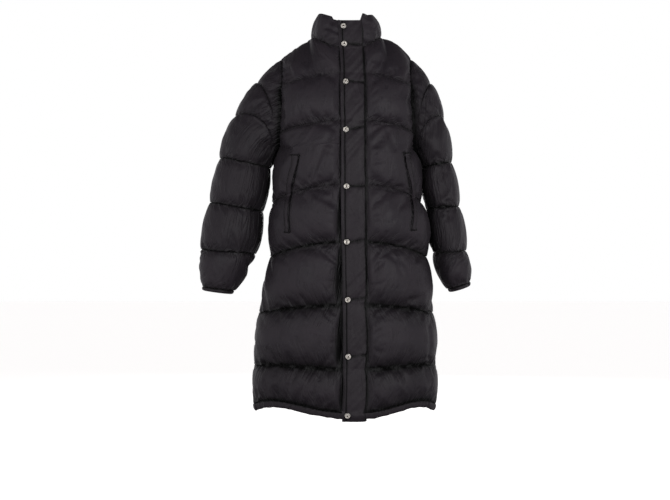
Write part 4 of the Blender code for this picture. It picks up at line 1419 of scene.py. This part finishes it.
def makeSnaps(flapRows, material, darkMaterial):
    # caps at the CAD caps' places, square to the flap
    made = []
    near, under, far = snap["across"]
    last = len(flapRows) - 1
    for number in range(1, len(snap["heights"]) + 1):
        low, high = (Vector(corner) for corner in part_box(f"snap_{number}"))
        centre = (low + high) / 2
        r = min(range(1, last), key=lambda k: abs(flapRows[k][under].z - centre.z))
        above, below = min(r + snap["rowsOver"], last), max(r - snap["rowsOver"], 0)
        up = flapRows[above][under] - flapRows[below][under]
        across = flapRows[r][far] - flapRows[r][near]
        normal = across.cross(up).normalized()
        bm = bmesh.new()
        line = [bm.verts.new((x / 1000, 0, z / 1000)) for x, z in snap["profile"]]
        edges = [bm.edges.new(pair) for pair in zip(line, line[1:])]
        bmesh.ops.spin(bm, geom=line + edges, axis=(0, 0, 1), cent=(0, 0, 0), steps=snap["steps"],
                       angle=math.tau, use_merge=True)
        bmesh.ops.remove_doubles(bm, verts=bm.verts, dist=0.00002)
        bmesh.ops.recalc_face_normals(bm, faces=bm.faces)
        # faces inside the recess take the darker nickel: painted shade
        for face in bm.faces:
            middle = face.calc_center_median()
            face.material_index = 1 if math.hypot(middle.x, middle.y) < snap["recess"] / 1000 else 0
        turn = normal.to_track_quat("Z", "Y").to_matrix().to_4x4()
        turn.translation = centre - normal * snap["seat"]
        bmesh.ops.transform(bm, matrix=turn, verts=bm.verts)
        obj = meshObject(f"snap_cap_{number}", bm, material, sharpAngle=50)
        obj.data.materials.append(darkMaterial)
        made.append(obj)
    return made


# pocket welts
def makeWelt(name, side, surface, material):
    table = welts[side]
    rows, across = weltMake["rows"], weltMake["across"]
    heights = [mix(table[0][1], table[-1][1], k / rows) for k in range(rows + 1)]

    def edgeAt(z):
        for (x0, z0, w0), (x1, z1, w1) in zip(table, table[1:]):
            if z >= z1 - 1e-9:
                t = (z0 - z) / (z0 - z1)
                return mix(x0, x1, ease(t)), mix(w0, w1, t)
        return table[-1][0], table[-1][2]

    def onSurface(x, z):
        # the front's mean surface, so that the strip bridges its small puckers
        total, normals = Vector(), Vector()
        for dx, dz in weltMake["feel"]:
            hit, normal, index, distance = surface.ray_cast(Vector((x + dx, -1, z + dz)), Vector((0, 1, 0)))
            total += Vector((x, hit.y, z))
            normals += normal
        return total / len(weltMake["feel"]), normals.normalized()

    sinkFrom, sink = weltMake["sink"]
    waveSize, wave = weltMake["wave"]
    stitched, fade, least = weltMake["stitchLine"]
    outer, inner, u, v, marks = [], [], [], [], []
    for z in heights:
        x, width = edgeAt(z)
        end = min(table[0][1] - z, z - table[-1][1])
        rowOut, rowIn, rowMarks = [], [], []
        for k in range(across):
            share = k / (across - 1)
            point, normal = onSurface(x + side * width * share, z)
            lip = weltMake["lip"] * (1 - share) ** 2 * ease(end / weltMake["lipEnd"])
            lift = weltMake["rise"] + weltMake["thick"] + lip + wave * ripple(z, share, waveSize, side)
            lift -= sink * ease((share - sinkFrom) / (1 - sinkFrom))
            rowOut.append(point + normal * lift)
            rowIn.append(point + normal * (lift - weltMake["thick"]))
            rowMarks.append(abs(share - stitched) * width * fade + least)
        outer.append(rowOut)
        inner.append(rowIn)
        u.append([width * k / (across - 1) for k in range(across)])
        v.append([-z] * across)
        marks.append(rowMarks)
    strip = joinWalls(name, outer, inner, u, v, marks, False, material)
    tacks = [makeTack(f"{name}_{label}_tack", side, spot, tackMake["reach"][label], onSurface, material)
             for label, spot in (("top", table[0]), ("bottom", table[-1]))]
    return strip, tacks


def makeTack(name, side, spot, reach, onSurface, material):
    x, z, width = spot
    length, depth, height = tackMake["size"]
    count, uneven = tackMake["threads"]
    bm = bmesh.new()
    bm.loops.layers.uv.new("cloth")
    seamLayer = bm.verts.layers.float.new("seamDistance")
    bmesh.ops.create_grid(bm, x_segments=13, y_segments=4, size=0.5, calc_uvs=True)
    for vert in bm.verts:
        vert[seamLayer] = tackMake["mark"]
        across, up = vert.co.x, vert.co.y
        px = x + side * (tackMake["middle"] * width + across * length * reach)
        point, normal = onSurface(px, z + up * depth + tackMake["slant"] * across)
        ridge = math.sqrt(max(1 - (2 * up) ** 2, 0)) * (1 + uneven * math.sin(across * count))
        vert.co = point + normal * (weltMake["rise"] + tackMake["foot"] + height * ridge)
    bmesh.ops.solidify(bm, geom=bm.faces[:], thickness=tackMake["foot"])
    bmesh.ops.recalc_face_normals(bm, faces=bm.faces)
    return meshObject(name, bm, material)


# materials
# shade: how dark the painted shade is this many millimetres from a seam; reach: how far its puckers run out
nylon = {
    "shell": {"colour": "#2A262B", "light": "#302B30", "roughness": (0.44, 0.56), "reach": 0.050,
              "relief": {"crumples": 0.3, "drapes": 0.35, "puckers": 1.0}, "creaseShade": 0.45,
              "shade": ((0, 1.0), (2.6, 0.98), (5, 0.62), (11, 0.32), (36, 0.0))},
    "flap": {"colour": "#282428", "light": "#2E292E", "roughness": (0.46, 0.58), "reach": 0.012,
             "relief": {"crumples": 0.5, "drapes": 0.8, "puckers": 0.5}, "creaseShade": 0.15,
             "shade": ((0, 1.0), (1.2, 0.90), (2.4, 0.30), (6, 0.10), (12, 0.0))},
    "trim": {"colour": "#282428", "light": "#2E292E", "roughness": (0.48, 0.60), "reach": 0.014,
             "relief": {"crumples": 0.4, "drapes": 0.3, "puckers": 0.8}, "creaseShade": 0.25,
             "shade": ((0, 1.0), (2, 0.90), (4, 0.40), (8, 0.12), (14, 0.0))},
    "farthest": 0.040,          # metres; the shade ends before this
    # colour of the painted shade in seams, creases and gaps
    "deep": "#030303",
    "sheen": 0.03,
    "sheenRoughness": 0.45,
    "gloss": 0.17,
    "ior": 1.53,
    "thread": 0.0009,           # thread spacing drawn, in metres; the real 0.2 mm is too fine to show
    "oneBand": 0.314,           # a wave texture's scale for one band in each metre
    "stitch": 0.0030,
    "stitchGap": 0.14,          # share of a stitch that is gap
    "stitchWide": 0.0009,
    "patches": 0.07,            # size of the patches where the cloth is rubbed
    "crumples": 0.022,
    "puckers": (0.011, 0.080, 6.0),     # metres between them, their length, and their change up the cloth
    "puckerSharp": 0.12,
    "puckerPatches": 0.028,     # they are longer and shorter in patches of this size
    "puckerReach": (0.3, 1.3),
    "drapes": (0.034, 0.160, 9.0),
    "lean": 0.75,               # how far folds lean away from the front middle as they leave a seam
    "leanWithin": 0.09,         # metres from the middle in which they turn over
    "shadeWobble": 0.0035,      # how far the shade's edge wanders, in metres
    # depth of each relief, and the strength of those that a finish doesn't name
    "relief": {"crumples": 0.0030, "drapes": 0.0100, "puckers": -0.0014, "stitches": 0.0003, "weave": 0.0001},
    "fineRelief": 0.3,
}


def nylonCloth(name, finish):
    # plain woven nylon with a calendered face: near black, a soft broad gloss, fine creases by the seams
    material = bpy.data.materials.new(name)
    material.use_nodes = True
    tree = material.node_tree
    shader = tree.nodes["Principled BSDF"]
    shader.inputs["Sheen Weight"].default_value = nylon["sheen"]
    shader.inputs["Sheen Roughness"].default_value = nylon["sheenRoughness"]
    shader.inputs["Specular IOR Level"].default_value = nylon["gloss"]
    shader.inputs["IOR"].default_value = nylon["ior"]
    uv = addNode(tree, "ShaderNodeUVMap", {"uv_map": "cloth"}).outputs["UV"]
    cloth = addNode(tree, "ShaderNodeSeparateXYZ", inputs={0: uv})
    seam = addNode(tree, "ShaderNodeAttribute", {"attribute_name": "seamDistance"}).outputs["Fac"]

    # folds leave the seams slantwise, away from the front middle: this is how far across one starts
    place = addNode(tree, "ShaderNodeTexCoord").outputs["Object"]
    sideways = addNode(tree, "ShaderNodeSeparateXYZ", inputs={0: place}).outputs["X"]
    lean = addNode(tree, "ShaderNodeMapRange", inputs={
        "Value": sideways, "From Min": -nylon["leanWithin"], "From Max": nylon["leanWithin"],
        "To Min": nylon["lean"], "To Max": -nylon["lean"]}).outputs[0]
    across = addNode(tree, "ShaderNodeMath", {"operation": "MULTIPLY_ADD"},
                     {0: seam, 1: lean, 2: cloth.outputs["X"]}).outputs[0]
    folds = addNode(tree, "ShaderNodeCombineXYZ", inputs={
        "X": across, "Y": seam, "Z": cloth.outputs["Y"]}).outputs[0]

    # puckers: sharp creases where a noise passes through its middle, of uneven length
    width, length, change = nylon["puckers"]
    spread = addNode(tree, "ShaderNodeMapping", inputs={
        "Vector": folds, "Scale": (1 / width, 1 / length, change)}).outputs[0]
    fine = addNode(tree, "ShaderNodeTexNoise", inputs={
        "Vector": spread, "Scale": 1.0, "Detail": 1.0, "Distortion": 0.7}).outputs["Fac"]
    offMiddle = addNode(tree, "ShaderNodeMath", {"operation": "SUBTRACT"}, {0: fine, 1: 0.5}).outputs[0]
    fromLine = addNode(tree, "ShaderNodeMath", {"operation": "ABSOLUTE"}, {0: offMiddle}).outputs[0]
    line = addNode(tree, "ShaderNodeMapRange", {"interpolation_type": "SMOOTHSTEP"}, {
        "Value": fromLine, "From Max": nylon["puckerSharp"], "To Min": 1.0, "To Max": 0.0}).outputs[0]
    uneven = addNode(tree, "ShaderNodeTexNoise", inputs={
        "Vector": uv, "Scale": 1 / nylon["puckerPatches"]}).outputs["Fac"]
    shortest, longest = nylon["puckerReach"]
    reach = addNode(tree, "ShaderNodeMapRange", inputs={
        "Value": uneven, "From Min": 0.35, "From Max": 0.65,
        "To Min": finish["reach"] * shortest, "To Max": finish["reach"] * longest}).outputs[0]
    fade = addNode(tree, "ShaderNodeMapRange", {"interpolation_type": "SMOOTHSTEP"}, {
        "Value": seam, "From Max": reach, "To Min": 1.0, "To Max": 0.0}).outputs[0]
    puckers = addNode(tree, "ShaderNodeMath", {"operation": "MULTIPLY"}, {0: line, 1: fade}).outputs[0]

    # colour: broad faint patches where the cloth is rubbed, and painted shade down in the seams and creases
    patches = addNode(tree, "ShaderNodeTexNoise", inputs={
        "Vector": uv, "Scale": 1 / nylon["patches"], "Detail": 3.0}).outputs["Fac"]
    tone = addNode(tree, "ShaderNodeMapRange", inputs={
        "Value": patches, "From Min": 0.3, "From Max": 0.7}).outputs[0]
    face = addNode(tree, "ShaderNodeMix", {"data_type": "RGBA"}, {
        "Factor": tone, 6: toLinear(finish["colour"]), 7: toLinear(finish["light"])}).outputs[2]
    wobble = addNode(tree, "ShaderNodeMath", {"operation": "MULTIPLY_ADD"},
                     {0: offMiddle, 1: nylon["shadeWobble"], 2: seam}).outputs[0]
    distance = addNode(tree, "ShaderNodeMapRange", inputs={
        "Value": wobble, "From Max": nylon["farthest"]}).outputs[0]
    shade = addNode(tree, "ShaderNodeValToRGB", inputs={"Fac": distance})
    ramp = shade.color_ramp.elements
    ramp.remove(ramp[1])
    for step, (millimetres, dark) in enumerate(finish["shade"]):
        stop = ramp.new(millimetres / 1000 / nylon["farthest"]) if step else ramp[0]
        stop.color = (dark, dark, dark, 1.0)
    inCrease = addNode(tree, "ShaderNodeMath", {"operation": "MULTIPLY"},
                       {0: puckers, 1: finish["creaseShade"]}).outputs[0]
    dark = addNode(tree, "ShaderNodeMath", {"operation": "MAXIMUM"},
                   {0: shade.outputs["Color"], 1: inCrease}).outputs[0]
    colour = addNode(tree, "ShaderNodeMix", {"data_type": "RGBA"}, {
        "Factor": dark, 6: face, 7: toLinear(nylon["deep"])}).outputs[2]
    tree.links.new(colour, shader.inputs["Base Color"])

    # gloss varies a little with the patches
    low, high = finish["roughness"]
    gloss = addNode(tree, "ShaderNodeMapRange", inputs={
        "Value": tone, "To Min": low, "To Max": high}).outputs[0]
    tree.links.new(gloss, shader.inputs["Roughness"])

    # stitches: short dashes of thread sunk in the seam line
    dashes = addNode(tree, "ShaderNodeMath", {"operation": "PINGPONG"},
                     {0: cloth.outputs["X"], 1: nylon["stitch"] / 2}).outputs[0]
    dash = addNode(tree, "ShaderNodeMath", {"operation": "GREATER_THAN"},
                   {0: dashes, 1: nylon["stitch"] * nylon["stitchGap"]}).outputs[0]
    atSeam = addNode(tree, "ShaderNodeMath", {"operation": "LESS_THAN"},
                     {0: seam, 1: nylon["stitchWide"]}).outputs[0]
    stitches = addNode(tree, "ShaderNodeMath", {"operation": "MULTIPLY"}, {0: dash, 1: atSeam}).outputs[0]

    # relief: soft crumples, long slanting drapes, puckers, stitches and the weave
    crumples = addNode(tree, "ShaderNodeTexNoise", inputs={
        "Vector": uv, "Scale": 1 / nylon["crumples"], "Detail": 3.0, "Distortion": 0.6}).outputs["Fac"]
    width, length, change = nylon["drapes"]
    spread = addNode(tree, "ShaderNodeMapping", inputs={
        "Vector": folds, "Scale": (1 / width, 1 / length, change)}).outputs[0]
    drapes = addNode(tree, "ShaderNodeTexNoise", inputs={
        "Vector": spread, "Scale": 1.0, "Detail": 2.0, "Distortion": 0.5}).outputs["Fac"]
    threads = [addNode(tree, "ShaderNodeTexWave", {"bands_direction": axis, "wave_profile": "SIN"}, {
        "Vector": uv, "Scale": nylon["oneBand"] / nylon["thread"], "Distortion": 0.4}).outputs["Fac"]
               for axis in ("X", "Y")]
    weave = addNode(tree, "ShaderNodeMath", {"operation": "MULTIPLY"},
                    {0: threads[0], 1: threads[1]}).outputs[0]
    heights = {"crumples": crumples, "drapes": drapes, "puckers": puckers,
               "stitches": stitches, "weave": weave}
    bump = None
    for label, depth in nylon["relief"].items():
        strength = finish["relief"].get(label, nylon["fineRelief"])
        inputs = {"Height": heights[label], "Distance": abs(depth), "Strength": strength}
        if bump:
            inputs["Normal"] = bump.outputs["Normal"]
        bump = addNode(tree, "ShaderNodeBump", {"label": label, "invert": depth < 0}, inputs)
    tree.links.new(bump.outputs["Normal"], shader.inputs["Normal"])
    return material


metal = {
    "cap": ("#DAD6CE", 0.36),   # colour and roughness
    # a darker copy of the cap's nickel: painted shade in its recess
    "recess": ("#4E4B47", 0.45),
    "scuffs": 0.0012,           # their size, in metres
    "worn": (-0.06, 0.10),      # roughness taken off and added by them
    "dull": 0.82,               # brightness left in a scuff
    "relief": 0.00005,
    "reliefStrength": 0.4,
}


def nickelMetal(name, hexColour, roughness):
    # nickel-plated brass, pressed and barrel polished: warm grey, soft scuffs on the rim
    material = bpy.data.materials.new(name)
    material.use_nodes = True
    tree = material.node_tree
    shader = tree.nodes["Principled BSDF"]
    shader.inputs["Metallic"].default_value = 1.0
    place = addNode(tree, "ShaderNodeTexCoord").outputs["Object"]
    scuffs = addNode(tree, "ShaderNodeTexNoise", inputs={
        "Vector": place, "Scale": 1 / metal["scuffs"], "Detail": 3.0}).outputs["Fac"]
    least, most = metal["worn"]
    worn = addNode(tree, "ShaderNodeMapRange", inputs={
        "Value": scuffs, "From Min": 0.35, "From Max": 0.65,
        "To Min": roughness + least, "To Max": roughness + most}).outputs[0]
    tree.links.new(worn, shader.inputs["Roughness"])
    bright = toLinear(hexColour)
    dull = [part * metal["dull"] for part in bright[:3]] + [1.0]
    tone = addNode(tree, "ShaderNodeMix", {"data_type": "RGBA"}, {"Factor": scuffs, 6: bright, 7: dull})
    tree.links.new(tone.outputs[2], shader.inputs["Base Color"])
    relief = addNode(tree, "ShaderNodeBump", inputs={
        "Height": scuffs, "Distance": metal["relief"], "Strength": metal["reliefStrength"]})
    tree.links.new(relief.outputs["Normal"], shader.inputs["Normal"])
    return material


# making the coat
addCamera(view)
addStudio(studio)
shellCloth = nylonCloth("black nylon taffeta", nylon["shell"])
flapCloth = nylonCloth("black nylon taffeta folded flat", nylon["flap"])
trimCloth = nylonCloth("black nylon taffeta gathered", nylon["trim"])
nickel = nickelMetal("nickel plate", *metal["cap"])
# the same nickel made darker, for the painted shade in the caps' recesses
darkNickel = nickelMetal("nickel plate with painted shade in the recess", *metal["recess"])

panels = {
    "front_right": frontPanel(-1),
    "front_left": frontPanel(1),
    "back": backPanel(),
    "sleeve_right": sleevePanel(-1),
    "sleeve_left": sleevePanel(1),
    "collar": collarPanel(True),
}
print("panels laid out")

surfaces = {}
creased = {"front_right": -1, "front_left": 1, "collar": 0}
for number, (node, panel) in enumerate(panels.items()):
    outer = puffUp(f"{node}_cloth", panel, down, number * down["seedStep"])
    outer = settle(panel, outer, down["settlePasses"], down["settleFactor"])
    if node in creased:
        outer = pressCreases(panel, outer, creased[node])
    piece = closePanel(f"{node}_down", panel, outer, shellCloth)
    surfaces[node] = BVHTree.FromObject(piece, bpy.context.evaluated_depsgraph_get())
    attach(piece, "root")
    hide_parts(node)
    print(node, "filled")

for node, source, seed in (("hem_right", "front_right", 1.0), ("hem_left", "front_left", 2.0),
                           ("hem_back", "back", 3.0)):
    piece, cut = makeHem(f"{node}_band", panels[source], trimCloth, seed)
    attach(piece, "root")
    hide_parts(node)
for node, source, seed in (("cuff_right", "sleeve_right", 5.0), ("cuff_left", "sleeve_left", 6.0)):
    piece, cut = makeCuff(f"{node}_band", panels[source], trimCloth, seed)
    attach(piece, "root")
    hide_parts(node)
print("hem and cuffs gathered")

flapPiece, flapRows = makeFlap("front_flap_cloth", panels["front_right"], panels["front_left"],
                               collarPanel(False), flapCloth)
caps = makeSnaps(flapRows, nickel, darkNickel)
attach(flapPiece, "root")
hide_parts("front_flap")
for number, cap in enumerate(caps, start=1):
    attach(cap, "root")
    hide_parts(f"snap_{number}")
print("flap and snaps on")

for node, side, source in (("welt_right", -1, "front_right"), ("welt_left", 1, "front_left")):
    piece, tacks = makeWelt(f"{node}_strip", side, surfaces[source], trimCloth)
    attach(piece, "root")
    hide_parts(node)
    for tack in tacks:
        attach(tack, "root")
print("pockets welted")
